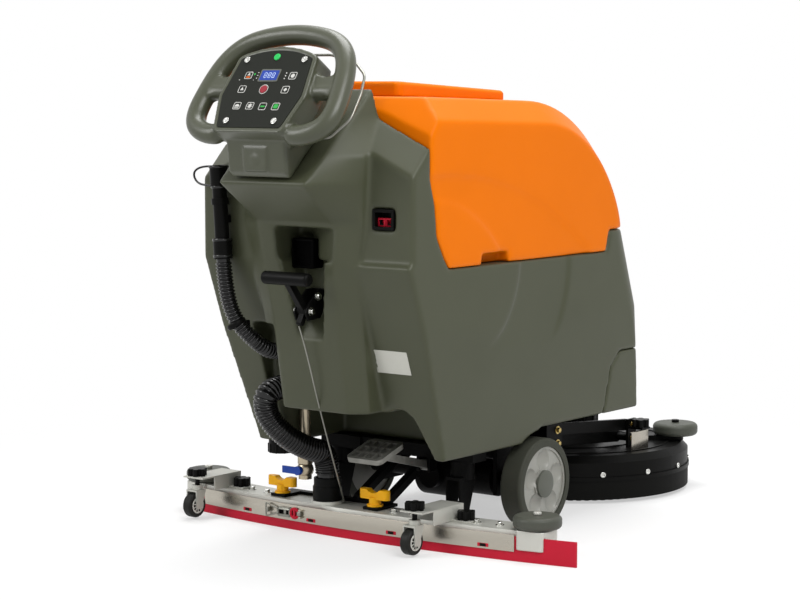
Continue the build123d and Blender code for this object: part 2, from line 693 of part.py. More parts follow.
# Chassis and running gear
def chassis_frame():
    frame = both_sides(block(*RAIL_X, RAIL_REAR_Y, RAIL_FRONT_Y, RAIL_BOTTOM_Z, RAIL_TOP_Z))
    beam = CASTER_X + 40
    frame += block(-beam, beam, CASTER_Y - 21, CASTER_Y + 24, RAIL_BOTTOM_Z, RAIL_TOP_Z)
    beam = RAIL_X[1] + 5
    frame += block(-beam, beam, SQ_PIVOT_Y - 16, SQ_PIVOT_Y + 16, RAIL_BOTTOM_Z, RAIL_TOP_Z)
    frame += block(-ARM_PLATE_X[1], ARM_PLATE_X[1], 66, 88, RAIL_BOTTOM_Z, FLOOR_FRONT_Z)
    stem_bore = disc(CASTER_X, CASTER_Y, RAIL_BOTTOM_Z - 1, RAIL_BOTTOM_Z + 20, CASTER_STEM_R + FIT)
    frame -= both_sides(stem_bore)
    plate = block(*ARM_PLATE_X, 66, ARM_REAR_Y + 16, 122, 194)
    root = ARM_PLATE_X[0] + 1
    plate += rod_x(root, UPPER_ARM_X[0] - 2, ARM_REAR_Y, ARM_REAR_Z, ARM_PIN_R)
    plate += rod_x(root, LOWER_ARM_X[0] - 2, ARM_REAR_Y, ARM_REAR_Z - ARM_SPACING, ARM_PIN_R)
    axle_plate = block(142, 150, AXLE_Y - 38, AXLE_Y + 38, 62, RAIL_BOTTOM_Z + 10)
    axle_plate += block(RAIL_X[1] - 5, 150, AXLE_Y - 38, AXLE_Y + 38, RAIL_BOTTOM_Z, RAIL_BOTTOM_Z + 10)
    axle_plate -= rod((140, AXLE_Y, WHEEL_RADIUS), (152, AXLE_Y, WHEEL_RADIUS), AXLE_TUBE_RADIUS + FIT)
    frame += both_sides(plate + axle_plate)
    for x in SQ_ARM_X:
        for x0 in (x - SQ_ARM_HALF - 8.3, x + SQ_ARM_HALF + GAP):
            frame += prism_x(outline([
                (SQ_PIVOT_Y - 12, RAIL_BOTTOM_Z + 1), (SQ_PIVOT_Y + 12, RAIL_BOTTOM_Z + 1),
                (SQ_PIVOT_Y + 12, SQ_PIVOT_Z - 6), (SQ_PIVOT_Y, SQ_PIVOT_Z - 12),
                (SQ_PIVOT_Y - 12, SQ_PIVOT_Z - 6),
            ]), x0, x0 + 8)
        reach = SQ_ARM_HALF + 8
        frame += rod_x(x - reach, x + reach, SQ_PIVOT_Y, SQ_PIVOT_Z, PIVOT_PIN_R)
    pedal_y, pedal_z = PEDAL_PIVOT
    for x0 in (PEDAL_ARM_X[0] - 6.3, PEDAL_ARM_X[1] + GAP):
        frame += block(x0, x0 + 6, pedal_y - 12, pedal_y + 12, pedal_z - 12, RAIL_BOTTOM_Z + 1)
    frame += rod_x(PEDAL_ARM_X[0] - 5, PEDAL_ARM_X[1] + 5, pedal_y, pedal_z, PIVOT_PIN_R)
    return frame


def drive_transaxle():
    centre = (AXLE_Y, WHEEL_RADIUS)

    def along_x(x0, x1, radius):
        return rod((x0, *centre), (x1, *centre), radius)

    shaft_end = WHEEL_OUTER_X - 8
    unit = along_x(-shaft_end, shaft_end, AXLE_RADIUS)
    unit += along_x(-186, 186, AXLE_TUBE_RADIUS)
    unit += along_x(-46, 46, 50)
    unit += along_x(46, 132, 37)
    unit += rod((0, AXLE_Y - 10, WHEEL_RADIUS), (0, AXLE_Y - 62, WHEEL_RADIUS), 26)
    return unit


def wheel_hub(side):
    """A dished hub with five round scoops about its centre cap."""
    inner = side * (WHEEL_OUTER_X - TYRE_WIDTH + 4)
    outer = side * (WHEEL_OUTER_X - 3)
    y, z = AXLE_Y, WHEEL_RADIUS
    hub = rod((inner, y, z), (outer, y, z), HUB_RADIUS)
    hub -= pipe((outer - side * 3, y, z), (outer + side, y, z), HUB_RADIUS - 5, 0.42 * HUB_RADIUS)
    for scoop in range(5):
        angle = radians(72 * scoop + 18)
        reach = 0.64 * HUB_RADIUS
        middle = Pos(outer + side * 14, y + reach * cos(angle), z + reach * sin(angle))
        hub -= middle * Sphere(0.37 * HUB_RADIUS)
    hub += rod((outer - side * 4, y, z), (outer + side * 2.5, y, z), 0.36 * HUB_RADIUS)
    hub -= rod((inner - side, y, z), (outer - side * 4.5, y, z), AXLE_RADIUS + FIT)
    return hub


def tyre(side):
    inner = side * (WHEEL_OUTER_X - TYRE_WIDTH)
    outer = side * WHEEL_OUTER_X
    ring = rod_x(inner, outer, AXLE_Y, WHEEL_RADIUS, WHEEL_RADIUS)
    ring -= rod_x(inner, outer, AXLE_Y, WHEEL_RADIUS, HUB_RADIUS + 0.2)
    rims = [
        edge for edge in ring.edges().filter_by(GeomType.CIRCLE)
        if abs(edge.radius - WHEEL_RADIUS) < 0.01
    ]
    return fillet(rims, 6)


def rear_fork(side):
    x, y = side * CASTER_X, CASTER_Y
    axle_y = y - CASTER_TRAIL
    half = CASTER_WIDTH / 2 + 1.5
    top = CASTER_RADIUS + 78
    fork = block(x - half - 4, x + half + 4, axle_y - 12, y + 20, top, top + 6)
    for x0 in (x - half - 4, x + half):
        fork += prism_x(outline([
            (axle_y - 10, CASTER_RADIUS - 10), (axle_y + 10, CASTER_RADIUS - 10),
            (y + 20, top + 1), (axle_y - 12, top + 1),
        ]), x0, x0 + 4)
    fork += rod((x - half - 4, axle_y, CASTER_RADIUS), (x + half + 4, axle_y, CASTER_RADIUS), 5)
    fork += disc(x, y, top, RAIL_BOTTOM_Z - GAP, 24)
    return fork + disc(x, y, top, RAIL_BOTTOM_Z + 18, CASTER_STEM_R)


def small_wheel(x, y, z, radius, width, bore):
    wheel = pipe((x - width / 2, y, z), (x + width / 2, y, z), radius, bore)
    rims = [e for e in wheel.edges().filter_by(GeomType.CIRCLE) if abs(e.radius - radius) < 0.01]
    wheel = fillet(rims, width * 0.22)
    for x0, x1 in ((x - width, x - width / 2 + 2.5), (x + width / 2 - 2.5, x + width)):
        wheel -= pipe((x0, y, z), (x1, y, z), radius * 0.66, radius * 0.34)
    return wheel


# Brush deck
def lift_arms(rear_z, front_z, span):
    arm = link((ARM_REAR_Y, rear_z), (ARM_FRONT_Y, front_z), ARM_PIN_R + 4, *span)
    for y, z in ((ARM_REAR_Y, rear_z), (ARM_FRONT_Y, front_z)):
        arm -= rod((span[0] - 1, y, z), (span[1] + 1, y, z), ARM_PIN_R + FIT)
    return both_sides(arm)


def brush_deck():
    wall = DECK_RADIUS - DECK_WALL
    profile = make_face(Polyline(
        (DECK_SHAFT_R + 6, DECK_TOP_Z), (DECK_RADIUS - 14, DECK_TOP_Z), (DECK_RADIUS, DECK_TOP_Z - 14),
        (DECK_RADIUS, DECK_RIM_Z + 9), (DECK_RIM_RADIUS, DECK_RIM_Z + 9), (DECK_RIM_RADIUS, DECK_RIM_Z),
        (wall, DECK_RIM_Z), (wall, DECK_TOP_Z - 16), (wall - 12, DECK_TOP_Z - DECK_WALL),
        (DECK_SHAFT_R + 6, DECK_TOP_Z - DECK_WALL), close=True,
    ))
    deck = Pos(0, DECK_Y, 0) * revolve(Plane.XZ * profile, Axis.Z)
    for radius in (DECK_RADIUS - 40, DECK_RADIUS - 110):
        deck += pipe((0, DECK_Y, DECK_TOP_Z - 1), (0, DECK_Y, DECK_TOP_Z + 2), radius, radius - 6)
    plate = block(*ARM_PLATE_X, ARM_FRONT_Y - 16, ARM_FRONT_Y + 16, DECK_TOP_Z - 1, ARM_FRONT_Z + 14)
    upper = (ARM_FRONT_Y, ARM_FRONT_Z)
    lower = (ARM_FRONT_Y, ARM_FRONT_Z - ARM_SPACING)
    plate += rod((ARM_PLATE_X[0] + 1, *upper), (UPPER_ARM_X[0] - 2, *upper), ARM_PIN_R)
    plate += rod((ARM_PLATE_X[0] + 1, *lower), (LOWER_ARM_X[0] - 2, *lower), ARM_PIN_R)
    deck += both_sides(plate)
    knob_x, knob_y = DECK_KNOB_XY
    flange = (ARM_PLATE_X[1] - 1, knob_x + 14, knob_y - 16, knob_y + 16)
    deck += block(*flange, DECK_FLANGE_Z, DECK_FLANGE_Z + 4)
    deck += disc(knob_x, knob_y, DECK_FLANGE_Z, DECK_FLANGE_Z + 14, STUD_R)
    x, y = DECK_ROLLER_XY
    reach = Vector(x, y - DECK_Y).normalized() * 60
    slot = SlotCenterToCenter(60, 36)
    turn = degrees(atan2(reach.Y, reach.X))
    arm = Pos(x - reach.X / 2, y - reach.Y / 2) * Rot(0, 0, turn) * slot
    deck += prism_z(arm, DECK_TOP_Z - 1, DECK_ROLLER_Z[0] - GAP)
    deck += disc(x, y, DECK_TOP_Z, DECK_ROLLER_Z[1] + 2, STUD_R)
    return deck + disc(x, y, DECK_ROLLER_Z[1] + GAP, DECK_ROLLER_Z[1] + 6, 8)


def deck_skirt():
    foot = (0, DECK_Y, SKIRT_BOTTOM_Z)
    return pipe(foot, (0, DECK_Y, DECK_RIM_Z - 0.2), SKIRT_RADIUS, SKIRT_RADIUS - 5)


def brush_motor():
    motor = disc(0, DECK_Y, DECK_TOP_Z + 0.2, DECK_TOP_Z + 10, MOTOR_RADIUS + 14)
    motor += disc(0, DECK_Y, DECK_TOP_Z + 9, MOTOR_TOP_Z, MOTOR_RADIUS)
    for fin in range(12):
        angle = radians(30 * fin)
        x, y = MOTOR_RADIUS * cos(angle), DECK_Y + MOTOR_RADIUS * sin(angle)
        motor += disc(x, y, DECK_TOP_Z + 20, MOTOR_TOP_Z - 18, 3)
    motor += disc(0, DECK_Y, MOTOR_TOP_Z - 1, MOTOR_TOP_Z + 7, MOTOR_RADIUS - 9)
    return motor + disc(0, DECK_Y, BRUSH_PLATE_Z + 14, DECK_TOP_Z + 5, DECK_SHAFT_R)


def scrub_brush():
    profile = make_face(Polyline(
        (DECK_SHAFT_R + FIT, BRUSH_PLATE_Z + 40), (DECK_SHAFT_R + 14, BRUSH_PLATE_Z + 40),
        (DECK_SHAFT_R + 18, BRUSH_PLATE_Z + 12), (BRUSH_RADIUS - 12, BRUSH_PLATE_Z + 12),
        (BRUSH_RADIUS - 8, BRUSH_PLATE_Z), (BRUSH_RADIUS, 0), (BRUSH_RADIUS - BRISTLE_BAND, 0),
        (BRUSH_RADIUS - BRISTLE_BAND, BRUSH_PLATE_Z), (DECK_SHAFT_R + FIT, BRUSH_PLATE_Z), close=True,
    ))
    return Pos(0, DECK_Y, 0) * revolve(Plane.XZ * profile, Axis.Z)


def roller(x, y, z_span, radius):
    ring = pipe((x, y, z_span[0]), (x, y, z_span[1]), radius, STUD_R + FIT)
    rims = [e for e in ring.edges().filter_by(GeomType.CIRCLE) if abs(e.radius - radius) < 0.01]
    return fillet(rims, (z_span[1] - z_span[0]) * 0.35)


# Squeegee
def arc_point(x, behind):
    rise = sqrt((SQ_ARC_R + behind) ** 2 - (x - SQ_X) ** 2)
    return (x, SQ_Y + SQ_ARC_R - rise)


def arc_band(front, rear, x0, x1, z0, z1):
    """A bar that follows the squeegee's bow, between two offsets behind the head's rear wall."""
    middle = (x0 + x1) / 2
    face = make_face([
        ThreePointArc(arc_point(x0, rear), arc_point(middle, rear), arc_point(x1, rear)),
        Line(arc_point(x1, rear), arc_point(x1, front)),
        ThreePointArc(arc_point(x1, front), arc_point(middle, front), arc_point(x0, front)),
        Line(arc_point(x0, front), arc_point(x0, rear)),
    ])
    return prism_z(face, z0, z1)


SQ_LEFT = SQ_X - SQ_HALF_LENGTH
SQ_RIGHT = SQ_X + SQ_HALF_LENGTH
BLADE_FACE = 0.2
STRAP_FACE = BLADE_FACE + BLADE_THICK + 0.2


def wing_knob_x(side):
    return PORT_X + side * WING_KNOB_SPREAD


def squeegee_head():
    x0, x1 = SQ_LEFT + CAP_LENGTH + 0.2, SQ_RIGHT - CAP_LENGTH - 0.2
    head = arc_band(-SQ_DEPTH, 0, x0, x1, SQ_FOOT_Z, SQ_TOP_Z)
    head -= arc_band(SQ_WALL - SQ_DEPTH, -SQ_WALL, x0 - 1, x1 + 1, SQ_FOOT_Z - 1, SQ_TOP_Z - SQ_WALL)
    head += disc(PORT_X, PORT_Y, SQ_TOP_Z - 1, SQ_TOP_Z + 6, PORT_R + 8)
    head += disc(PORT_X, PORT_Y, SQ_TOP_Z - 1, PORT_TOP_Z, PORT_R)
    head -= disc(PORT_X, PORT_Y, SQ_FOOT_Z, PORT_TOP_Z + 1, PORT_BORE)
    for side in (-1, 1):
        head += disc(wing_knob_x(side), WING_KNOB_Y, SQ_TOP_Z - 1, SQ_TOP_Z + 24, STUD_R)
    for x, y in SQ_STEMS:
        head += disc(x + 52, arc_point(x + 52, -32)[1], SQ_TOP_Z - 1, SQ_TOP_Z + 12, STUD_R)
    return head


def squeegee_strap():
    ends = (SQ_LEFT + CAP_LENGTH + 1, SQ_RIGHT - CAP_LENGTH - 1)
    strap = arc_band(STRAP_FACE, STRAP_FACE + STRAP_THICK, *ends, *STRAP_Z)
    for slot in range(7):
        x = SQ_X - 330 + slot * 110
        strap -= block(x - 12, x + 12, SQ_Y - 40, SQ_Y + 60, STRAP_Z[0] - 1, STRAP_Z[0] + 5)
    y = arc_point(LATCH_X, STRAP_FACE + STRAP_THICK)[1] - 4
    for z in (LATCH_Z - 8, LATCH_Z + 6):
        strap += block(LATCH_X - 3, LATCH_X + 3, y - 3, y + 5, z - 2, z + 2)
    return strap + disc(LATCH_X, y, LATCH_Z - 10, LATCH_Z + 8, 1.5)


def strap_latch():
    y = arc_point(LATCH_X, STRAP_FACE + STRAP_THICK)[1] - 4
    z0, z1 = LATCH_Z - 5.7, LATCH_Z + 3.7
    lever = disc(LATCH_X, y, z0, z1, 3.2)
    lever += block(LATCH_X - LATCH_LENGTH, LATCH_X, y - 3, y - 0.5, z0, z1)
    lever -= block(LATCH_X - LATCH_LENGTH + 5, LATCH_X - 14, y - 4, y + 1, z0 + 2.5, z1 - 2.5)
    return lever - disc(LATCH_X, y, z0 - 1, z1 + 1, 1.5 + FIT)


def squeegee_blades():
    ends = (SQ_LEFT + 12, SQ_RIGHT + BLADE_OVERHANG)
    rear = arc_band(BLADE_FACE, BLADE_FACE + BLADE_THICK, *ends, 0, BLADE_HEIGHT)
    front_face = -SQ_DEPTH - BLADE_FACE
    ends = (SQ_LEFT + CAP_LENGTH + 2, SQ_RIGHT - CAP_LENGTH - 2)
    front = arc_band(front_face - BLADE_THICK + 1, front_face, *ends, 1.5, BLADE_HEIGHT - 4)
    return Compound([rear.solid(), front.solid()])


def end_caps():
    caps = []
    for x0, x1 in ((SQ_LEFT, SQ_LEFT + CAP_LENGTH), (SQ_RIGHT - CAP_LENGTH, SQ_RIGHT)):
        cap = arc_band(-SQ_DEPTH - 6, STRAP_FACE + STRAP_THICK + 2, x0, x1, SQ_FOOT_Z, SQ_TOP_Z + 2)
        cap = fillet(cap.edges().filter_by(Axis.Z), 8)
        cap -= arc_band(BLADE_FACE - 0.2, STRAP_FACE, x0 - 5, x1 + 5, 0, BLADE_HEIGHT + 0.3)
        side = 1 if x0 > 0 else -1
        x = SQ_X + side * SQ_ROLLER_REACH
        cap += disc(x, SQ_ROLLER_Y, SQ_TOP_Z, SQ_ROLLER_Z[0] - GAP, 14)
        cap += disc(x, SQ_ROLLER_Y, SQ_TOP_Z, SQ_ROLLER_Z[1] + 2, STUD_R)
        cap += disc(x, SQ_ROLLER_Y, SQ_ROLLER_Z[1] + GAP, SQ_ROLLER_Z[1] + 6, 8)
        caps.append(cap.solid())
    return Compound(caps)


def caster_brackets():
    """Bent sheet brackets that carry the squeegee's casters behind the strap."""
    brackets = []
    sheet = BRACKET_SHEET
    for x, y in SQ_STEMS:
        stud_y = arc_point(x + 52, -32)[1]
        seat = SQ_TOP_Z + 0.2
        bracket = block(x - 20, x + 33, y - 20, stud_y + 18, BRACKET_TOP_Z, BRACKET_TOP_Z + sheet)
        bracket += block(x + 33 - sheet, x + 33, stud_y - 20, stud_y + 18, seat, BRACKET_TOP_Z + 1)
        bracket += block(x + 33 - sheet, x + 72, stud_y - 20, stud_y + 18, seat, seat + sheet)
        bracket -= disc(x, y, BRACKET_TOP_Z - 1, BRACKET_TOP_Z + sheet + 1, STUD_R + FIT)
        bracket -= disc(x + 52, stud_y, seat - 1, seat + sheet + 1, STUD_R + 0.4)
        brackets.append(bracket.solid())
    return Compound(brackets)


def clamp_knob(stem):
    x = stem[0] + 52
    seat = SQ_TOP_Z + 0.2 + BRACKET_SHEET + GAP
    return star_knob(x, arc_point(x, -32)[1], seat, seat + 17, 18, STUD_R + FIT)


def height_knob(stem):
    x, y = stem
    knob = star_knob(x, y, BRACKET_TOP_Z + BRACKET_SHEET + GAP, BRACKET_TOP_Z + 18, 20, 0)
    return knob + disc(x, y, 55, BRACKET_TOP_Z + 10, STUD_R)


def squeegee_fork(stem):
    x, y = stem
    axle_y = y - SQ_WHEEL_TRAIL
    half = SQ_WHEEL_WIDTH / 2 + 1
    fork = block(x - half - 2.5, x + half + 2.5, axle_y - 8, y + 10, 56, 59.5)
    for x0 in (x - half - 2.5, x + half):
        fork += prism_x(outline([
            (axle_y - 7, SQ_WHEEL_Z - 7), (axle_y + 7, SQ_WHEEL_Z - 7), (y + 10, 57), (axle_y - 8, 57),
        ]), x0, x0 + 2.5)
    fork += rod((x - half - 2.5, axle_y, SQ_WHEEL_Z), (x + half + 2.5, axle_y, SQ_WHEEL_Z), 4)
    fork += disc(x, y, 59, 68, 11)
    return fork - disc(x, y, 50, 70, STUD_R + FIT)


def wing_knob(side):
    x = wing_knob_x(side)
    base = SQ_TOP_Z + 0.2 + 6 + GAP
    knob = disc(x, WING_KNOB_Y, base, base + 18, 12)
    knob += disc(x, WING_KNOB_Y, base, base + 4, 16)
    wing = prism_z(Pos(x, WING_KNOB_Y) * SlotOverall(70, 16), base + 14, base + 33)
    wing -= prism_y(Pos(x, base + 46) * Circle(20), WING_KNOB_Y - 20, WING_KNOB_Y + 20)
    knob += wing
    return knob - disc(x, WING_KNOB_Y, base - 1, SQ_TOP_Z + 26, STUD_R + FIT)


def squeegee_carrier():
    """Cross bar with two ears under the wing knobs, hung from the frame on two arms."""
    seat = SQ_TOP_Z + 0.2
    left, right = wing_knob_x(-1), wing_knob_x(1)
    bar = block(left - 18, right + 18, WING_KNOB_Y + 33, WING_KNOB_Y + 49, seat, seat + 6)
    for x in (left, right):
        ear = block(x - 18, x + 18, WING_KNOB_Y - 16, WING_KNOB_Y + 34, seat, seat + 6)
        bar += ear - disc(x, WING_KNOB_Y, seat - 1, seat + 7, STUD_R + 0.4)
    for x in SQ_ARM_X:
        sides = (x - SQ_ARM_HALF, x + SQ_ARM_HALF)
        arm = link((WING_KNOB_Y + 41, seat + 8), (SQ_PIVOT_Y, SQ_PIVOT_Z), 8, *sides)
        arm += rod_x(*sides, SQ_PIVOT_Y, SQ_PIVOT_Z, 11)
        bar += arm - rod_x(x - 20, x + 20, SQ_PIVOT_Y, SQ_PIVOT_Z, PIVOT_PIN_R + FIT)
    return bar


def hose_cuff():
    base = SQ_TOP_Z + 6.2
    cuff = disc(PORT_X, PORT_Y, base, base + 28, PORT_R + 5)
    cuff += disc(PORT_X, PORT_Y, base + 27, CUFF_TOP_Z, PORT_R + 3)
    return cuff - disc(PORT_X, PORT_Y, base - 1, CUFF_TOP_Z + 1, PORT_R + 0.2)


CUFF_TOP_Z = 108


# Control head
HEAD_PLANE = Plane(
    origin=(0, HEAD_Y, HEAD_Z),
    x_dir=(1, 0, 0),
    z_dir=(0, -sin(radians(HEAD_TILT)), cos(radians(HEAD_TILT))),
)


def head_yz(up, out):
    point = HEAD_PLANE.from_local_coords(Vector(0, up, out))
    return (point.Y, point.Z)


def head_point(across, up, out):
    point = HEAD_PLANE.from_local_coords(Vector(across, up, out))
    return (point.X, point.Y, point.Z)


def bezel_outline(inset):
    shoulder_x, shoulder_w = BEZEL_SHOULDER
    sides = mirrored([BEZEL_SHOULDER, BEZEL_CHEEK, BEZEL_FOOT])
    face = make_face([
        Polyline(*sides),
        ThreePointArc((-shoulder_x, shoulder_w), (0, BEZEL_TOP), (shoulder_x, shoulder_w)),
    ])
    face = fillet(face.vertices(), 14)
    return offset(face, -inset) if inset else face


def ring_path():
    half = [
        (94, -82), (124, -79), (154, -60), (163, -28), (161, 0),
        (151, 52), (138, 82), (113, 109), (60, 129),
    ]
    return Spline(*[head_point(x, w, -RING_SET_BACK) for x, w in mirrored(half)])


def seat_point(z, off):
    return (seat_y(z) - off, z)


def neck():
    """The neck between the head and the column: a shadow gap all round and a core that seats."""
    crest_z = CREST_Z - 21
    shape = prism_x(outline([
        head_yz(-78, -15), (HEAD_Y - 26, HEAD_Z - 92),
        (HEAD_Y - 20, NECK_FOOT_Z + 10), (HEAD_Y - 10, NECK_FOOT_Z),
        seat_point(NECK_FOOT_Z, NECK_GAP), seat_point(crest_z, NECK_GAP),
        head_yz(80, -BEZEL_DEPTH), head_yz(80, -15),
    ]), -NECK_HALF, NECK_HALF)
    low = [e for e in shape.edges() if e.center().Z < NECK_FOOT_Z + 45 and abs(e.center().X) > 1]
    shape = fillet(low, 3)
    shape += prism_x(outline([
        seat_point(NECK_FOOT_Z + 10, GAP), seat_point(crest_z - 6, GAP),
        seat_point(crest_z - 6, 2 * NECK_GAP), seat_point(NECK_FOOT_Z + 10, 2 * NECK_GAP),
    ]), -NECK_CORE_HALF, NECK_CORE_HALF)
    shape += block(-28, 28, HEAD_Y - 27, HEAD_Y - 15, PAD_Z - 21, PAD_Z + 23)
    return shape + rod((0, HEAD_Y - 20, PAD_Z), (0, HEAD_Y - 28.5, PAD_Z), 9)


def control_head():
    head = neck() + extrude(HEAD_PLANE * bezel_outline(0), amount=-BEZEL_DEPTH)
    path = ring_path()
    start = Plane(origin=path @ 0, z_dir=path % 0)
    head += sweep(start * Circle(RING_RADIUS), path=path)
    for side in (-1, 1):
        head += Pos(*head_point(side * 94, -82, -RING_SET_BACK)) * Sphere(RING_RADIUS)
        spoke_from = head_point(side * 92, 8, -RING_SET_BACK)
        head += rod(spoke_from, head_point(side * 158, 10, -RING_SET_BACK), SPOKE_RADIUS)
        pivot = head_point(0, BAIL_PIVOT_W, -BAIL_SET_BACK)
        boss = rod((side * (NECK_HALF - 2), *pivot[1:]), (side * 100, *pivot[1:]), 9)
        head += boss - rod((side * 84, *pivot[1:]), (side * 101, *pivot[1:]), BAIL_WIRE_R + FIT)
    head -= extrude(HEAD_PLANE * bezel_outline(PANEL_INSET), amount=-PANEL_THICK - 0.2)
    for across, up, radius in (POWER_BUTTON, STOP_BUTTON):
        head -= rod(head_point(across, up, -10), head_point(across, up, 1), radius + GAP)
    return head


def control_panel():
    panel = extrude(HEAD_PLANE * bezel_outline(PANEL_INSET + 0.2), amount=-PANEL_THICK)
    for across, up, radius in (POWER_BUTTON, STOP_BUTTON):
        panel -= rod(head_point(across, up, -10), head_point(across, up, 1), radius + GAP)
    return panel


def round_button(button):
    across, up, radius = button
    cap = rod(head_point(across, up, -8), head_point(across, up, 1.6), radius)
    return chamfer(cap.edges().filter_by(GeomType.CIRCLE), 0.6)


def bail_switch():
    half = [
        (BAIL_ROOT, BAIL_PIVOT_W), (BAIL_HALF - 30, BAIL_PIVOT_W), (BAIL_HALF, -15), (BAIL_HALF, 40),
        (BAIL_HALF - 8, 80), (BAIL_HALF - 48, BAIL_TOP_W - 13), (50, BAIL_TOP_W),
    ]
    points = [head_point(x, w, -BAIL_SET_BACK) for x, w in mirrored(half)]
    bends = [20, 30, 30, 30, 30, 40]
    path = FilletPolyline(*points, radius=bends + bends[::-1])
    start = Plane(origin=path @ 0, z_dir=path % 0)
    return sweep(start * Circle(BAIL_WIRE_R), path=path)


# Lift lever
def lever_bracket():
    y, z = LEVER_PIVOT
    wall = RECESS_BACK_Y - GAP
    cheek = outline([
        (wall, z + 39), (wall, z + 13), (wall - 21, z - 15), (y - 8, z - 18),
        (y - 14, z - 3), (y - 6, z + 14), (y + 24, z + 39),
    ])
    bracket = prism_x(cheek, -16, -12) + prism_x(cheek, 12, 16)
    bracket += block(-16, 16, wall - 4, wall, z + 14, z + 39)
    return bracket + rod((-16, y, z), (16, y, z), LEVER_PIN_R)


def lift_lever():
    y, z = LEVER_PIVOT
    lever = rod((-11.5, y, z), (11.5, y, z), 10)
    lever += link(LEVER_PIVOT, LEVER_GRIP, 7, -6, 6)
    lever += link(LEVER_PIVOT, LEVER_TAIL, 5, -6, 6)
    half = GRIP_LENGTH / 2
    grip = rod((-half, *LEVER_GRIP), (half, *LEVER_GRIP), GRIP_RADIUS)
    lever += fillet(grip.edges().filter_by(GeomType.CIRCLE), 6)
    return lever - rod((-12, y, z), (12, y, z), LEVER_PIN_R + FIT)


def lift_cable():
    tail_y, tail_z = LEVER_TAIL
    path = FilletPolyline(
        (0, tail_y - 4, tail_z - 5.4),
        (6, tail_y + 6, 396),
        (20, COLUMN_FOOT_Y - 9, COLUMN_FOOT_Z - 4),
        (PORT_X + 40, PORT_Y + 2, SQ_TOP_Z + 8),
        radius=[60, 70],
    )
    cable = sweep(Plane(origin=path @ 0, z_dir=path % 0) * Circle(1.6), path=path)
    return cable + disc(PORT_X + 40, PORT_Y + 2, SQ_TOP_Z + 0.4, SQ_TOP_Z + 9, 4)


# Hoses, valve and pedal
def ribbed_hose(points, radii, crest, bore, pitch):
    """A corrugated hose: ruled loft through four circles a rib, with a straight cuff at each end."""
    path = FilletPolyline(*points, radius=radii)
    ribs = int((path.length - 2 * crest) / pitch)
    first = (path.length - ribs * pitch) / 2
    stations = [(0, crest - 2.5)]
    for rib in range(ribs):
        start = first + rib * pitch
        stations += [
            (start, crest - 2.5),
            (start + 0.25 * pitch, crest),
            (start + 0.6 * pitch, crest),
            (start + 0.85 * pitch, crest - 2.5),
        ]
    stations += [(path.length, crest - 2.5)]

    def ring(distance, radius):
        along = path.tangent_at(distance, position_mode=PositionMode.LENGTH)
        steady = Vector(1, 0, 0) - along * along.X
        origin = path.position_at(distance, position_mode=PositionMode.LENGTH)
        return Plane(origin=origin, x_dir=steady, z_dir=along) * Circle(radius)

    outside = loft([ring(s, r) for s, r in stations], ruled=True)
    inside = loft([ring(s, bore) for s, _ in stations[::4] + stations[-1:]], ruled=True)
    return outside - inside


SUCTION_ROUTE = [
    (-140, HOSE_NOTCH_Y - GAP, 292),
    (-140, HOSE_NOTCH_Y - 54, 292),
    (-150, HOSE_NOTCH_Y - 46, 244),
    (-124, HOSE_NOTCH_Y - 22, 200),
    (PORT_X - 8, PORT_Y - 46, 168),
    (PORT_X, PORT_Y, 158),
    (PORT_X, PORT_Y, CUFF_TOP_Z + 0.2),
]
DRAIN_ROUTE = [
    DRAIN_CUFF,
    (-176, DRAIN_CUFF[1], 490),
    (-160, DRAIN_CUFF[1] + 8, 430),
    (-132, -486, 384),
    (-126, -446, 364),
    (-126, HOSE_NOTCH_Y - GAP, 364),
]


def suction_hose():
    bends = [30, 36, 50, 40, 30]
    return ribbed_hose(SUCTION_ROUTE, bends, SUCTION_CREST_R, SUCTION_BORE_R, SUCTION_PITCH)


def drain_hose():
    return ribbed_hose(DRAIN_ROUTE, [120, 60, 50, 36], DRAIN_CREST_R, DRAIN_BORE_R, DRAIN_PITCH)


def drain_axis(height):
    """A point on the leaning drain spout, by its height above the floor."""
    along = (height - DRAIN_CUFF[2]) / (DRAIN_TOP[2] - DRAIN_CUFF[2])
    x = DRAIN_CUFF[0] + (DRAIN_TOP[0] - DRAIN_CUFF[0]) * along
    y = DRAIN_CUFF[1] + (DRAIN_TOP[1] - DRAIN_CUFF[1]) * along
    return (x, y, height)


def drain_rod(low, high, radius):
    return rod(drain_axis(low), drain_axis(high), radius)


def drain_spout():
    """Smooth upper end of the drain hose with its cuffs, and the clip that holds it to the wing."""
    low, high = DRAIN_CUFF[2], DRAIN_TOP[2]
    spout = drain_rod(low + 0.3, low + 34, DRAIN_CREST_R + 2)
    spout += drain_rod(low + 30, high, DRAIN_CREST_R - 2)
    spout += drain_rod(high - 52, high - 40, DRAIN_CREST_R + 1)
    x, y, z = drain_axis(high - 80)
    spout += block(x - 8, x + 8, y, WING_Y - GAP, z - 7, z + 7)
    return spout - drain_rod(low - 1, high + 1, DRAIN_BORE_R)


def drain_cap():
    top = DRAIN_TOP[2]
    cap = drain_rod(top - 16, top + 20, DRAIN_CREST_R + 1)
    cap -= drain_rod(top - 17, top + GAP, DRAIN_CREST_R - 2 + GAP)
    return cap + drain_rod(top + 19, top + 23, DRAIN_CREST_R - 3)


def ball_valve():
    x, y = VALVE_XY
    valve = disc(x, y, VALVE_Z + 10, COLUMN_FOOT_Z - 0.2, 11)
    valve += Pos(x, y, VALVE_Z) * Sphere(17)
    valve += disc(x, y, VALVE_Z + 12, VALVE_Z + 26, 15)
    valve += disc(x, y, VALVE_Z - 19, VALVE_Z - 10, 13)
    valve += rod((x, y, VALVE_Z), (x, y - 24, VALVE_Z), 5)
    return valve - disc(x, y, VALVE_Z - 20, VALVE_Z - 6, 8)


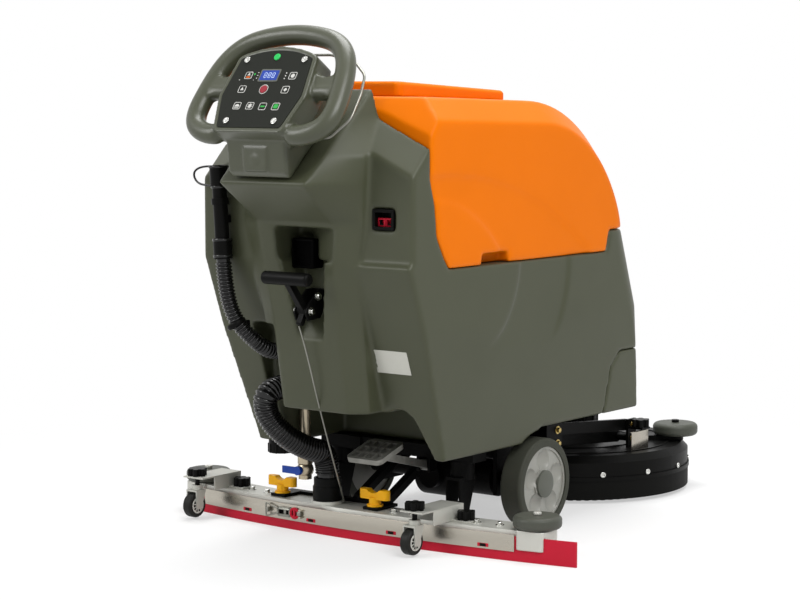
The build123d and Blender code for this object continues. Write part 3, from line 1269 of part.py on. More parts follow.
def valve_handle():
    x, y = VALVE_XY
    handle = rod((x, y - 18, VALVE_Z), (x, y - 26, VALVE_Z), 9)
    handle += block(x - VALVE_REACH, x, y - 26, y - 22, VALVE_Z - 7, VALVE_Z + 7)
    return handle - rod((x, y - 10, VALVE_Z), (x, y - 24.3, VALVE_Z), 5 + FIT)


def filter_cup():
    x, y = FILTER_XY
    cup = disc(x, y, FLOOR_REAR_Z - 26, FLOOR_REAR_Z - 0.2, 25)
    for rib in range(10):
        angle = 2 * pi * rib / 10
        cup += disc(x + 25 * cos(angle), y + 25 * sin(angle), FLOOR_REAR_Z - 26, FLOOR_REAR_Z - 8, 2)
    return cup


def foot_pedal():
    pedal_y, pedal_z = PEDAL_PIVOT
    x0, x1 = PEDAL_PLATE_X
    y0, y1 = PEDAL_PLATE_Y
    middle = (y0 + y1) / 2
    plate = block(x0, x1, y0, y1, PEDAL_Z, PEDAL_Z + 10)
    plate = fillet(plate.edges().filter_by(Axis.Z), 12)
    for row in range(3):
        for cell in range(4):
            cx = x0 + 8 + cell * 17.5
            cy = y0 + 8 + row * 24
            plate -= block(cx, cx + 14, cy, cy + 20, PEDAL_Z + 4, PEDAL_Z + 11)
    plate = plate.rotate(Axis((0, middle, PEDAL_Z), (1, 0, 0)), PEDAL_TILT)
    arm = link((middle, PEDAL_Z - 2), PEDAL_PIVOT, 7, *PEDAL_ARM_X)
    arm += rod((PEDAL_ARM_X[0], pedal_y, pedal_z), (PEDAL_ARM_X[1], pedal_y, pedal_z), 11)
    arm -= rod_x(PEDAL_ARM_X[0] - 1, PEDAL_ARM_X[1] + 1, pedal_y, pedal_z, PIVOT_PIN_R + FIT)
    return plate + arm


# Inner pieces
def batteries():
    width, length, height = BATTERY_SIZE
    cells = []
    for i in (-1, 1):
        for j in (0, 1):
            x = i * (width + BATTERY_GAP) / 2
            y = BAY_REAR_Y + 4 + length / 2 + j * (length + BATTERY_GAP)
            z0 = BAY_FLOOR_Z + 0.2
            plan = (x - width / 2, x + width / 2, y - length / 2, y + length / 2)
            cell = block(*plan, z0, z0 + height - 12)
            for post in (-1, 1):
                cell += disc(x + post * width * 0.32, y + length * 0.3, z0 + height - 13, z0 + height, 8)
            cells.append(cell.solid())
    return Compound(cells)


# Assembly
nodes["solution_tank"] = solution_tank()
nodes["front_cover"] = hull() & front_cover_region(0)
nodes["recovery_tank"] = recovery_tank()
nodes["tank_lid"] = tank_lid()
nodes["chassis_frame"] = chassis_frame()
nodes["batteries"] = batteries()
nodes["drive_transaxle"] = drive_transaxle()
nodes["charge_socket"] = charge_socket()

for name, side in (("left", -1), ("right", 1)):
    stem = SQ_STEMS[0] if side < 0 else SQ_STEMS[1]
    nodes[f"{name}_tyre"] = tyre(side)
    nodes[f"{name}_wheel_hub"] = wheel_hub(side)
    nodes[f"{name}_rear_fork"] = rear_fork(side)
    nodes[f"{name}_rear_caster"] = small_wheel(
        side * CASTER_X, CASTER_Y - CASTER_TRAIL, CASTER_RADIUS, CASTER_RADIUS, CASTER_WIDTH, 5 + FIT)
    nodes[f"{name}_wing_knob"] = wing_knob(side)
    nodes[f"{name}_height_knob"] = height_knob(stem)
    nodes[f"{name}_clamp_knob"] = clamp_knob(stem)
    nodes[f"{name}_squeegee_fork"] = squeegee_fork(stem)
    nodes[f"{name}_squeegee_wheel"] = small_wheel(
        stem[0], stem[1] - SQ_WHEEL_TRAIL, SQ_WHEEL_Z, SQ_WHEEL_RADIUS, SQ_WHEEL_WIDTH, 4 + FIT)
    roller_x = SQ_X + side * SQ_ROLLER_REACH
    nodes[f"{name}_bumper_roller"] = roller(roller_x, SQ_ROLLER_Y, SQ_ROLLER_Z, SQ_ROLLER_R)

nodes["deck_upper_arms"] = lift_arms(ARM_REAR_Z, ARM_FRONT_Z, UPPER_ARM_X)
nodes["deck_lower_arms"] = lift_arms(ARM_REAR_Z - ARM_SPACING, ARM_FRONT_Z - ARM_SPACING, LOWER_ARM_X)
nodes["brush_deck"] = brush_deck()
nodes["deck_skirt"] = deck_skirt()
nodes["brush_motor"] = brush_motor()
nodes["scrub_brush"] = scrub_brush()
nodes["deck_bumper_wheel"] = roller(*DECK_ROLLER_XY, DECK_ROLLER_Z, DECK_ROLLER_R)
deck_knob_z = (DECK_FLANGE_Z + 4 + GAP, DECK_FLANGE_Z + 21)
nodes["deck_knob"] = star_knob(*DECK_KNOB_XY, *deck_knob_z, 20, STUD_R + FIT)
nodes["foot_pedal"] = foot_pedal()

nodes["squeegee_carrier"] = squeegee_carrier()
nodes["squeegee_head"] = squeegee_head()
nodes["squeegee_strap"] = squeegee_strap()
nodes["squeegee_blades"] = squeegee_blades()
nodes["squeegee_end_caps"] = end_caps()
nodes["caster_brackets"] = caster_brackets()
nodes["hose_cuff"] = hose_cuff()
nodes["strap_latch"] = strap_latch()

nodes["control_head"] = control_head()
nodes["control_panel"] = control_panel()
nodes["power_button"] = round_button(POWER_BUTTON)
nodes["stop_button"] = round_button(STOP_BUTTON)
nodes["bail_switch"] = bail_switch()
nodes["lever_bracket"] = lever_bracket()
nodes["lift_lever"] = lift_lever()
nodes["lift_cable"] = lift_cable()

nodes["suction_hose"] = suction_hose()
nodes["drain_hose"] = drain_hose()
nodes["drain_spout"] = drain_spout()
nodes["drain_cap"] = drain_cap()
nodes["ball_valve"] = ball_valve()
nodes["valve_handle"] = valve_handle()
nodes["filter_cup"] = filter_cup()

os.makedirs("parts", exist_ok=True)
for node, shape in nodes.items():
    export_step(shape, f"parts/{node}.step")
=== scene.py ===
import json
import math

import bpy
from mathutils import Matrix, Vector

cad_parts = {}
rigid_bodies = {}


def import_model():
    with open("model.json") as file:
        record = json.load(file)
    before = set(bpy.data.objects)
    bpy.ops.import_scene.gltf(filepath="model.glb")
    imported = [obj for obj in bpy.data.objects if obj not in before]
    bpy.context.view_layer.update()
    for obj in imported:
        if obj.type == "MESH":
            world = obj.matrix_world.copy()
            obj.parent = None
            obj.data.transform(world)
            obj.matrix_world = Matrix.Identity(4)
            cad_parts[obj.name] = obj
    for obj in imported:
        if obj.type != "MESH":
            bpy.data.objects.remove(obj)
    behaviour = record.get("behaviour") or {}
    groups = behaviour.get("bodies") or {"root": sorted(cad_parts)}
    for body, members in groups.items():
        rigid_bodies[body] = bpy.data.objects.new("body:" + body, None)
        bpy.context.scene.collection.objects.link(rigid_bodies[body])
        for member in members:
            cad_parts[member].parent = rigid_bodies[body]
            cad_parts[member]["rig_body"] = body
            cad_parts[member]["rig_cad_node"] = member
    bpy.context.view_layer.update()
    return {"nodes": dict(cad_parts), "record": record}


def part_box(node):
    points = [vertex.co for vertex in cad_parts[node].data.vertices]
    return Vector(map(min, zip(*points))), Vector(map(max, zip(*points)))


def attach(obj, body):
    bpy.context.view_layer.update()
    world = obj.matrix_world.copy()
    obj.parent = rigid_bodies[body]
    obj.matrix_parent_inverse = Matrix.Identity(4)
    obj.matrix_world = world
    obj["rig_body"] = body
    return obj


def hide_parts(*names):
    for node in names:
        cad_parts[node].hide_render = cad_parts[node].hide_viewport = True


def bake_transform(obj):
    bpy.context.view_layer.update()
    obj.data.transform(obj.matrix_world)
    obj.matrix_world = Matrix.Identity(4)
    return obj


# %% [markdown]
# # A walk-behind floor scrubber dryer
# The machine washes a floor with a disc brush at the front and sucks the water up with a bowed
# squeegee at the back. The engineering model is already there as a fixed frame of solids.
# Here we give it the soft moulded edges, ribbed hoses, bristles and small fittings of the real one.

# %% Load the frame
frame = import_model()
solids = frame["nodes"]
print("solids loaded:", len(solids))

# %% [markdown]
# ## The camera
# The photograph was taken from behind and to the right, a little below handle height, with a long
# lens from far away. Upright edges stay upright in it, so a place, a direction and a lens are
# enough, and the lens needs no shift.

# %% Camera
turn, dip = math.radians(37.5), math.radians(5.63)
looking = Vector((-math.sin(turn) * math.cos(dip), math.cos(turn) * math.cos(dip), -math.sin(dip)))
bpy.ops.object.camera_add(location=(2.635, -3.644, 0.882))
camera = bpy.context.object
camera.name = "photo_camera"
camera.rotation_euler = looking.to_track_quat("-Z", "Y").to_euler()
camera.data.lens = 99.0
camera.data.sensor_width = 36.0
bpy.context.scene.camera = camera
bpy.context.scene.view_settings.view_transform = "Standard"
print("camera looks along", [round(v, 3) for v in looking])

# %% [markdown]
# ## Floor and light
# A pale floor and three large soft lamps give the even light of a studio. To the camera the paper
# glows white and so does the world behind it, so no horizon shows. Only near the machine the paper
# is real paper as well, and there it takes the shadow.

# %% Helpers for shader nodes
def feed(tree, node, inputs):
    """Link each input of a node to a socket, or set it to a plain value."""
    for name, value in inputs.items():
        if isinstance(value, bpy.types.NodeSocket):
            tree.links.new(value, node.inputs[name])
        else:
            node.inputs[name].default_value = value
    return node


def add_node(tree, kind, inputs=None, **settings):
    """A new shader node with its settings and with what feeds its inputs."""
    node = tree.nodes.new("ShaderNode" + kind)
    for name, value in settings.items():
        setattr(node, name, value)
    return feed(tree, node, inputs or {})


def seen_directly(tree):
    """1 for rays of the camera, of mirrors and of clear things, 0 for rays that only gather light."""
    rays = add_node(tree, "LightPath").outputs
    first = add_node(tree, "Math", {0: rays["Is Camera Ray"], 1: rays["Is Glossy Ray"]},
                     operation="MAXIMUM")
    both = add_node(tree, "Math", {0: first.outputs[0], 1: rays["Is Transmission Ray"]},
                    operation="MAXIMUM")
    return both.outputs[0]


# %% Floor
floor_size, floor_height = 16, -0.0006
shadow_reach, glow_reach, near_glow = 0.5, 1.5, 0.5
bpy.ops.mesh.primitive_plane_add(size=floor_size, location=(0, 0, floor_height))
floor = bpy.context.object
floor.name = "studio_floor"
paper = bpy.data.materials.new("floor_paper")
paper.use_nodes = True
paper_tree = paper.node_tree
paper_shader = feed(paper_tree, paper_tree.nodes["Principled BSDF"],
                    {"Base Color": (0.9, 0.9, 0.9, 1), "Roughness": 0.9})
glow = add_node(paper_tree, "Emission")
place = add_node(paper_tree, "TexCoord").outputs["Object"]
reach = add_node(paper_tree, "VectorMath", {0: place}, operation="LENGTH").outputs["Value"]
fade = add_node(paper_tree, "MapRange", {
    "Value": reach, "From Min": shadow_reach, "From Max": glow_reach,
    "To Min": near_glow, "To Max": 1.0,
}, interpolation_type="SMOOTHSTEP")
share = add_node(paper_tree, "Math", {0: fade.outputs["Result"], 1: seen_directly(paper_tree)},
                 operation="MULTIPLY")
mixed = add_node(paper_tree, "MixShader", {
    "Fac": share.outputs[0], 1: paper_shader.outputs[0], 2: glow.outputs[0],
})
feed(paper_tree, paper_tree.nodes["Material Output"], {"Surface": mixed.outputs[0]})
floor.data.materials.append(paper)
print("floor:", floor_size, "m wide")

# %% World and lamps
ambient = 0.34
world = bpy.data.worlds.new("studio")
bpy.context.scene.world = world
world.use_nodes = True
sky = world.node_tree
level = add_node(sky, "MapRange", {"Value": seen_directly(sky), "To Min": ambient, "To Max": 1.0})
feed(sky, sky.nodes["Background"], {"Color": (1, 1, 1, 1), "Strength": level.outputs["Result"]})


def soft_lamp(name, place, target, size, watts):
    """A square lamp that shines from its place at a target."""
    bpy.ops.object.light_add(type="AREA", location=place)
    lamp = bpy.context.object
    lamp.name = name
    lamp.data.size = size
    lamp.data.energy = watts
    lamp.rotation_euler = (Vector(target) - Vector(place)).to_track_quat("-Z", "Y").to_euler()


soft_lamp("key_softbox", (2.6, -1.4, 3.0), (0, 0, 0.5), size=2.0, watts=95)
soft_lamp("rear_softbox", (-1.8, -2.9, 2.2), (0, -0.3, 0.7), size=1.4, watts=46)
soft_lamp("top_softbox", (-0.2, 0.5, 3.2), (0, 0, 0.6), size=2.0, watts=85)

# %% [markdown]
# ## Finishes
# Every finish is made of nodes on Object coordinates, in metres: a slow noise shifts the colour and
# the gloss a little, a fine one raises the moulding grain. Only scale and strength differ between
# a rotational moulding, a rubber, a powder coat and a brushed sheet, so one helper makes them all.

# %% A helper for grainy finishes
grain_height = 0.0006


def grainy(name, colour, shade, patch=6.0, grain=900.0, raised=0.12, rough=(0.45, 0.6), metal=0.0,
           shine=0.25, stretch=(1, 1, 1)):
    """A surface with slow patches between two colours and a fine raised grain."""
    made = bpy.data.materials.new(name)
    made.use_nodes = True
    tree = made.node_tree
    place = add_node(tree, "TexCoord").outputs["Object"]
    place = add_node(tree, "Mapping", {"Vector": place, "Scale": stretch}).outputs["Vector"]
    slow = add_node(tree, "TexNoise", {"Vector": place, "Scale": patch, "Detail": 4}).outputs["Fac"]
    fine = add_node(tree, "TexNoise", {"Vector": place, "Scale": grain, "Detail": 3}).outputs["Fac"]
    tint = add_node(tree, "Mix", {"Factor": slow, "A": (*colour, 1), "B": (*shade, 1)},
                    data_type="RGBA")
    gloss = add_node(tree, "MapRange", {"Value": slow, "To Min": rough[0], "To Max": rough[1]})
    bump = add_node(tree, "Bump", {"Height": fine, "Strength": raised, "Distance": grain_height})
    feed(tree, tree.nodes["Principled BSDF"], {
        "Base Color": tint.outputs["Result"], "Roughness": gloss.outputs["Result"],
        "Normal": bump.outputs["Normal"], "Metallic": metal, "Specular IOR Level": shine,
    })
    return made


# %% Shell, rubber and coat finishes
grey_moulding = grainy("grey_moulding", (0.057, 0.062, 0.0355), (0.0485, 0.0525, 0.030), raised=0.2,
                       rough=(0.37, 0.48), shine=0.28)
head_moulding = grainy("head_moulding", (0.058, 0.063, 0.039), (0.049, 0.053, 0.032), raised=0.2,
                       rough=(0.28, 0.38), shine=0.45)
orange_moulding = grainy("orange_moulding", (0.76, 0.166, 0.0), (0.70, 0.149, 0.0), raised=0.14,
                         rough=(0.36, 0.48), shine=0.08)
black_moulding = grainy("black_moulding", (0.004, 0.004, 0.0036), (0.0025, 0.0025, 0.0023),
                        raised=0.2, rough=(0.3, 0.45), shine=0.07)
black_coat = grainy("black_powder_coat", (0.0045, 0.0045, 0.004), (0.003, 0.003, 0.003), grain=1600,
                    raised=0.25, rough=(0.34, 0.46), shine=0.05)
hose_black = grainy("hose_black", (0.005, 0.005, 0.005), (0.003, 0.003, 0.003), patch=20,
                    raised=0.06, rough=(0.14, 0.22), shine=0.4)
skirt_rubber = grainy("skirt_rubber", (0.004, 0.004, 0.0036), (0.006, 0.006, 0.0054), patch=14,
                      rough=(0.5, 0.65), shine=0.06)
roller_rubber = grainy("roller_rubber", (0.066, 0.070, 0.056), (0.05, 0.054, 0.042), patch=18,
                       rough=(0.42, 0.56), shine=0.3)
tyre_rubber = grainy("tyre_rubber", (0.046, 0.048, 0.036), (0.032, 0.034, 0.025), patch=16,
                     raised=0.25, rough=(0.55, 0.7), shine=0.2)
caster_rubber = grainy("caster_rubber", (0.014, 0.014, 0.0125), (0.009, 0.009, 0.008), patch=18,
                       rough=(0.4, 0.55), shine=0.15)
hub_plastic = grainy("hub_plastic", (0.30, 0.30, 0.27), (0.255, 0.255, 0.23), patch=9, raised=0.1,
                     rough=(0.28, 0.42), shine=0.4)
blade_red = grainy("blade_red", (0.50, 0.012, 0.034), (0.43, 0.009, 0.026), patch=12, raised=0.06,
                   rough=(0.42, 0.52), shine=0.15)
knob_yellow = grainy("knob_yellow", (0.86, 0.43, 0.004), (0.76, 0.36, 0.003), patch=14, raised=0.14,
                     rough=(0.35, 0.46), shine=0.2)
grip_blue = grainy("grip_blue", (0.006, 0.05, 0.34), (0.004, 0.038, 0.26), patch=14, raised=0.1,
                   rough=(0.3, 0.4))
bristle_nylon = grainy("bristle_nylon", (0.02, 0.022, 0.028), (0.012, 0.013, 0.016), patch=30,
                       grain=2400, raised=0.3, rough=(0.5, 0.65))
print("finishes, with the floor's paper:", len(bpy.data.materials))

# %% Metal and panel finishes
brushed_steel = grainy("brushed_steel", (0.53, 0.50, 0.435), (0.35, 0.325, 0.275), patch=5, grain=700,
                       raised=0.08, rough=(0.2, 0.32), metal=1.0, stretch=(0.06, 1, 1.6))
bright_wire = grainy("bright_wire", (0.66, 0.66, 0.63), (0.5, 0.5, 0.475), patch=30, raised=0.04,
                     rough=(0.16, 0.26), metal=1.0)
dull_wire = grainy("dull_wire", (0.30, 0.30, 0.265), (0.19, 0.19, 0.165), patch=40, raised=0.06,
                   rough=(0.3, 0.42), metal=0.9)
cast_alloy = grainy("cast_alloy", (0.56, 0.56, 0.515), (0.47, 0.47, 0.43), patch=9, grain=1300,
                    raised=0.25, rough=(0.34, 0.46), metal=0.4)
zinc_sheet = grainy("zinc_sheet", (0.50, 0.50, 0.455), (0.42, 0.42, 0.38), patch=12, raised=0.1,
                    rough=(0.42, 0.56), metal=0.35)
worn_steel = grainy("worn_steel", (0.34, 0.335, 0.305), (0.09, 0.09, 0.08), patch=38, grain=1200,
                    raised=0.25, rough=(0.34, 0.5), metal=0.7)
valve_plate = grainy("valve_plate", (0.5, 0.44, 0.33), (0.4, 0.34, 0.24), patch=22, raised=0.14,
                     rough=(0.24, 0.36), metal=0.9)
bolt_brass = grainy("bolt_brass", (0.55, 0.42, 0.16), (0.42, 0.31, 0.11), patch=40, raised=0.06,
                    rough=(0.24, 0.36), metal=1.0)
panel_skin = grainy("panel_skin", (0.014, 0.0155, 0.012), (0.011, 0.0122, 0.0095), patch=10,
                    raised=0.05, rough=(0.4, 0.5), shine=0.1)
print_white = grainy("print_white", (0.6, 0.6, 0.57), (0.52, 0.52, 0.49), patch=60, raised=0.02)
print_green = grainy("print_green", (0.03, 0.36, 0.06), (0.025, 0.3, 0.05), patch=60, raised=0.02)
print_orange = grainy("print_orange", (0.6, 0.12, 0.02), (0.52, 0.1, 0.016), patch=60, raised=0.02)
screen_blue = grainy("screen_blue", (0.022, 0.06, 0.36), (0.016, 0.045, 0.29), patch=50, raised=0.01,
                     rough=(0.12, 0.2))
screen_light = grainy("screen_light", (0.5, 0.62, 0.9), (0.45, 0.56, 0.84), patch=60, raised=0.01)
key_green = grainy("key_green", (0.02, 0.50, 0.10), (0.016, 0.43, 0.085), patch=40, raised=0.03,
                   rough=(0.25, 0.32))
key_red = grainy("key_red", (0.30, 0.022, 0.036), (0.25, 0.016, 0.028), patch=40, raised=0.03,
                 rough=(0.3, 0.4))
cap_grey = grainy("cap_grey", (0.105, 0.11, 0.092), (0.085, 0.09, 0.074), patch=20, raised=0.1,
                  rough=(0.4, 0.5))
blank_label = grainy("blank_label", (0.52, 0.52, 0.47), (0.45, 0.45, 0.405), patch=24, grain=1800,
                     raised=0.06, rough=(0.3, 0.42))
# Near-black painted shade, put into openings where only shade shows.
painted_hollow_shade = grainy("painted_hollow_shade", (0.002, 0.002, 0.002), (0.001, 0.001, 0.001), patch=20,
                     shine=0.02)
print("finishes, with the floor's paper:", len(bpy.data.materials))

# %% Each solid takes its finish
finish_of_slot = {
    "grey_shell": grey_moulding, "orange_shell": orange_moulding, "black_plastic": black_moulding,
    "black_steel": black_coat, "hose_black": hose_black, "skirt_rubber": skirt_rubber,
    "roller_grey": roller_rubber, "tyre_grey": tyre_rubber, "hub_grey": hub_plastic,
    "steel": brushed_steel, "cast_grey": cast_alloy, "red_rubber": blade_red,
    "yellow_plastic": knob_yellow, "blue_plastic": grip_blue, "brass": valve_plate,
    "bristle": bristle_nylon, "panel_black": panel_skin, "key_green": key_green, "key_red": key_red,
}
finish_of_node = {
    "control_head": head_moulding, "foot_pedal": worn_steel, "bail_switch": dull_wire,
    "caster_brackets": zinc_sheet, "left_squeegee_fork": zinc_sheet, "right_squeegee_fork": zinc_sheet,
    "left_squeegee_wheel": caster_rubber, "right_squeegee_wheel": caster_rubber,
}
slot_of_node = {part["node"]: part["material_slot"] for part in frame["record"]["subparts"]}
nodes_of_body = frame["record"]["behaviour"]["bodies"]
body_of_node = {node: body for body, held in nodes_of_body.items() for node in held}


def finish_for(node):
    """A node's own finish, or else that of its slot."""
    return finish_of_node.get(node) or finish_of_slot[slot_of_node[node]]


for node, solid in solids.items():
    solid.data.materials.clear()
    solid.data.materials.append(finish_for(node))
print("solids dressed:", len(solids), "with a finish of their own:", len(finish_of_node))

# %% [markdown]
# ## Working habits
# An operator acts on all that is selected, so each piece starts with nothing selected. Faces are
# then picked in code by the way they point. A finished piece has its place in its mesh, a finish and
# a body to ride on.

# %% Helpers for selecting
def begin():
    """Leave edit mode and select nothing."""
    if bpy.context.object and bpy.context.object.mode != "OBJECT":
        bpy.ops.object.mode_set(mode="OBJECT")
    bpy.ops.object.select_all(action="DESELECT")


def only(piece):
    """Select one piece alone and make it the active one."""
    begin()
    piece.select_set(True)
    bpy.context.view_layer.objects.active = piece
    return piece


def edit_all(piece):
    """Go into edit mode with the whole mesh selected."""
    only(piece)
    bpy.ops.object.mode_set(mode="EDIT")
    bpy.ops.mesh.select_all(action="SELECT")


def edit_faces(piece, facing, nearly=0.95):
    """Go into edit mode with the faces selected that point in a direction, or nearly so."""
    only(piece)
    bpy.ops.object.mode_set(mode="EDIT")
    bpy.ops.mesh.select_mode(type="FACE")
    bpy.ops.mesh.select_all(action="DESELECT")
    bpy.ops.object.mode_set(mode="OBJECT")
    for face in piece.data.polygons:
        face.select = face.normal.dot(Vector(facing)) > nearly
    bpy.ops.object.mode_set(mode="EDIT")


def edit_done():
    """Go back to object mode."""
    bpy.ops.object.mode_set(mode="OBJECT")


# %% Helpers for shaping
def apply_modifier(piece, kind, **settings):
    """Add a modifier, set it and apply it."""
    only(piece)
    added = piece.modifiers.new(kind.lower(), kind)
    for name, value in settings.items():
        setattr(added, name, value)
    bpy.ops.object.modifier_apply(modifier=added.name)


def bevelled(piece, width, segments=3, angle=30):
    """Round the edges that are sharper than an angle in degrees."""
    apply_modifier(piece, "BEVEL", width=width, segments=segments, limit_method="ANGLE",
                   angle_limit=math.radians(angle))
    return piece


def rounded_block(place, size, radius, segments=3):
    """A block with round edges, the start of many small pieces."""
    begin()
    bpy.ops.mesh.primitive_cube_add(size=1, location=place, scale=size)
    block = bpy.context.object
    bpy.ops.object.transform_apply(location=False, rotation=False, scale=True)
    return bevelled(block, radius, segments)


def sunk(piece, facing, rim, push, each=False):
    """Push in what a rim leaves of the faces that point in a direction, each on its own or as one."""
    edit_faces(piece, facing)
    bpy.ops.mesh.inset(thickness=rim, use_individual=each)
    bpy.ops.mesh.extrude_region_move(TRANSFORM_OT_translate={"value": push})
    edit_done()
    return piece


# %% Helpers for repeating and gathering
def copy_of(model):
    """A copy in the same place, with its own mesh."""
    only(model)
    bpy.ops.object.duplicate()
    return bpy.context.object


def copy_to(model, place, facing=(0, 0, 1), spin=0.0):
    """A copy in another place, its upright axis turned to face a direction."""
    made = copy_of(model)
    turned = Vector(facing).to_track_quat("Z", "Y").to_matrix().to_4x4()
    made.rotation_euler = (0, 0, spin)
    bpy.context.view_layer.update()
    made.matrix_world = turned @ made.matrix_world
    made.location = place
    return made


def joined(pieces):
    """One object made of several."""
    begin()
    for piece in pieces:
        piece.select_set(True)
    bpy.context.view_layer.objects.active = pieces[0]
    bpy.ops.object.join()
    return bpy.context.object


def discard(*models):
    """Remove models that have been copied to all their places."""
    for model in models:
        bpy.data.objects.remove(model)


# %% A helper for finishing
def settle(piece, name, finish, body, angle=35):
    """Put the piece's place into its mesh, name it, smooth it, and let it ride on its body."""
    only(piece)
    bpy.ops.object.transform_apply(location=True, rotation=True, scale=True)
    piece.name = name
    piece.data.name = name
    piece.data.materials.clear()
    piece.data.materials.append(finish)
    bpy.ops.object.shade_smooth_by_angle(angle=math.radians(angle))
    if body:
        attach(piece, body)
    print(name, "faces:", len(piece.data.polygons))
    return piece


# %% [markdown]
# ## Softly moulded shells
# Tanks like these are spun in a heated mould, so no edge is sharp. A bevel fails where many edges
# of a solid meet, so a copy is rebuilt from small cubes with the Remesh modifier and then smoothed.
# That rounds every edge and corner by about the same radius. Decimate then thins the flat parts.

# %% Round the mouldings
def merged_copy(node):
    """A free copy of a solid's mesh with its loose triangles merged."""
    made = copy_of(solids[node])
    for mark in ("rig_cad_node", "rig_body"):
        del made[mark]
    bpy.ops.object.parent_clear(type="CLEAR")
    edit_all(made)
    bpy.ops.mesh.remove_doubles(threshold=1e-5)
    edit_done()
    return made


def melt(piece, cube, passes, keep):
    """Rebuild a piece from cubes, smooth it in passes and keep a share of its faces."""
    apply_modifier(piece, "REMESH", mode="VOXEL", voxel_size=cube)
    apply_modifier(piece, "SMOOTH", factor=0.5, iterations=passes)
    apply_modifier(piece, "DECIMATE", decimate_type="COLLAPSE", ratio=keep)


def soft_moulding(node, cube, passes, keep, added=()):
    """A melted copy of a solid, with the pieces that are added to it, in the solid's stead."""
    shell = joined([merged_copy(node), *added])
    melt(shell, cube, passes, keep)
    settle(shell, node + "_moulded", finish_for(node), body_of_node[node], angle=50)
    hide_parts(node)


soft_moulding("solution_tank", cube=0.0038, passes=9, keep=0.36)
soft_moulding("front_cover", cube=0.0036, passes=6, keep=0.4)
soft_moulding("recovery_tank", cube=0.0042, passes=11, keep=0.4)
soft_moulding("tank_lid", cube=0.0022, passes=8, keep=0.35)

# %% [markdown]
# ## The control head
# The head leans back towards the operator, so its panel has a plane of its own: across, up and out.
# Broad webs hold the ring handle. Each is a block cut in the middle and drawn in to a waist, and the
# remesh melts it into the bezel and the ring.

# %% The panel's plane
head_tilt = math.radians(56.4)
head_place = Vector((0, -0.616, 0.871))
head_up = Vector((0, math.cos(head_tilt), math.sin(head_tilt)))
head_out = Vector((0, -math.sin(head_tilt), math.cos(head_tilt)))


def on_panel(across, up, out=0.0):
    """A place on the panel, or out of it, in the machine's frame."""
    return head_place + Vector((1, 0, 0)) * across + head_up * up + head_out * out


# %% Webs of the handle and the soft head
web_size, web_waist = (0.070, 0.054, 0.028), (1, 0.70, 0.90)
web_across, web_up, web_out = 0.121, 0.018, -0.024


def handle_web(side):
    """A web between the bezel and the ring. The cut stays selected, so only the waist is drawn in."""
    web = rounded_block((0, 0, 0), web_size, 0.008)
    edit_all(web)
    bpy.ops.mesh.bisect(plane_co=(0, 0, 0), plane_no=(1, 0, 0))
    bpy.ops.transform.resize(value=web_waist)
    edit_done()
    web.rotation_euler = (head_tilt, 0, 0)
    web.location = on_panel(side * web_across, web_up, web_out)
    return web


soft_moulding("control_head", cube=0.0026, passes=7, keep=0.5, added=[handle_web(-1), handle_web(1)])

# %% [markdown]
# ## Eased edges
# Sheet, bar and small mouldings keep their solids, but no real edge is razor sharp. Three live
# modifiers ease them: Weld closes the loose triangles, Decimate dissolves flat faces into one, and
# Bevel then rounds what is left. The meshes themselves stay as they are.

# %% Ease the edges of the solids that stay
def eased(node, width, segments=2):
    """Round a solid's edges with live modifiers."""
    solid = solids[node]
    solid.modifiers.new("weld", "WELD").merge_threshold = 1e-5
    flat = solid.modifiers.new("flat", "DECIMATE")
    flat.decimate_type = "DISSOLVE"
    flat.angle_limit = math.radians(1.0)
    ease = solid.modifiers.new("ease", "BEVEL")
    ease.width = width
    ease.segments = segments
    ease.limit_method = "ANGLE"
    ease.angle_limit = math.radians(42)


sheet_edge, bar_edge, knob_edge = 0.0007, 0.0012, 0.0016
for node in ("caster_brackets", "left_squeegee_fork", "right_squeegee_fork", "lever_bracket"):
    eased(node, sheet_edge)
for node in ("lift_lever", "foot_pedal", "deck_upper_arms", "deck_lower_arms", "squeegee_carrier",
             "chassis_frame", "valve_handle", "charge_socket", "squeegee_head", "hose_cuff"):
    eased(node, bar_edge)
for side in ("left_", "right_"):
    for knob in ("wing_knob", "height_knob", "clamp_knob"):
        eased(side + knob, knob_edge, segments=3)
eased("deck_knob", knob_edge, segments=3)
print("solids with eased edges:", sum(1 for solid in solids.values() if "ease" in solid.modifiers))

# %% [markdown]
# ## Squeegee ends
# A light casting closes each end of the squeegee. Its outer front corner is a wide curve. A copy of
# the solid is cut by a few planes that touch this curve, and the remesh then melts them together.

# %% Cut the outer corners
corner_radius = 0.056
cap_low, cap_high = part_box("squeegee_end_caps")
ends = merged_copy("squeegee_end_caps")
edit_all(ends)
for side, end in ((-1, cap_low.x), (1, cap_high.x)):
    centre = Vector((end - side * corner_radius, cap_high.y - corner_radius, 0))
    for degrees in (12, 28, 45, 62, 78):
        slope = math.radians(degrees)
        outward = Vector((side * math.cos(slope), math.sin(slope), 0))
        bpy.ops.mesh.select_all(action="SELECT")
        bpy.ops.mesh.bisect(plane_co=centre + outward * corner_radius, plane_no=outward,
                            use_fill=True, clear_outer=True)
edit_done()
melt(ends, cube=0.0012, passes=7, keep=0.35)
settle(ends, "squeegee_end_caps_moulded", cast_alloy, "squeegee", angle=50)
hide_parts("squeegee_end_caps")

# %% [markdown]
# ## Ribbed hoses
# Both hoses are soft tubes with raised rings. The route is a NURBS curve with the same corner
# points as the solid's. A bevel on the curve would be smooth all along, so we read the line from
# the curve and lay rings of points along it, wide on a rib and narrow between two ribs.

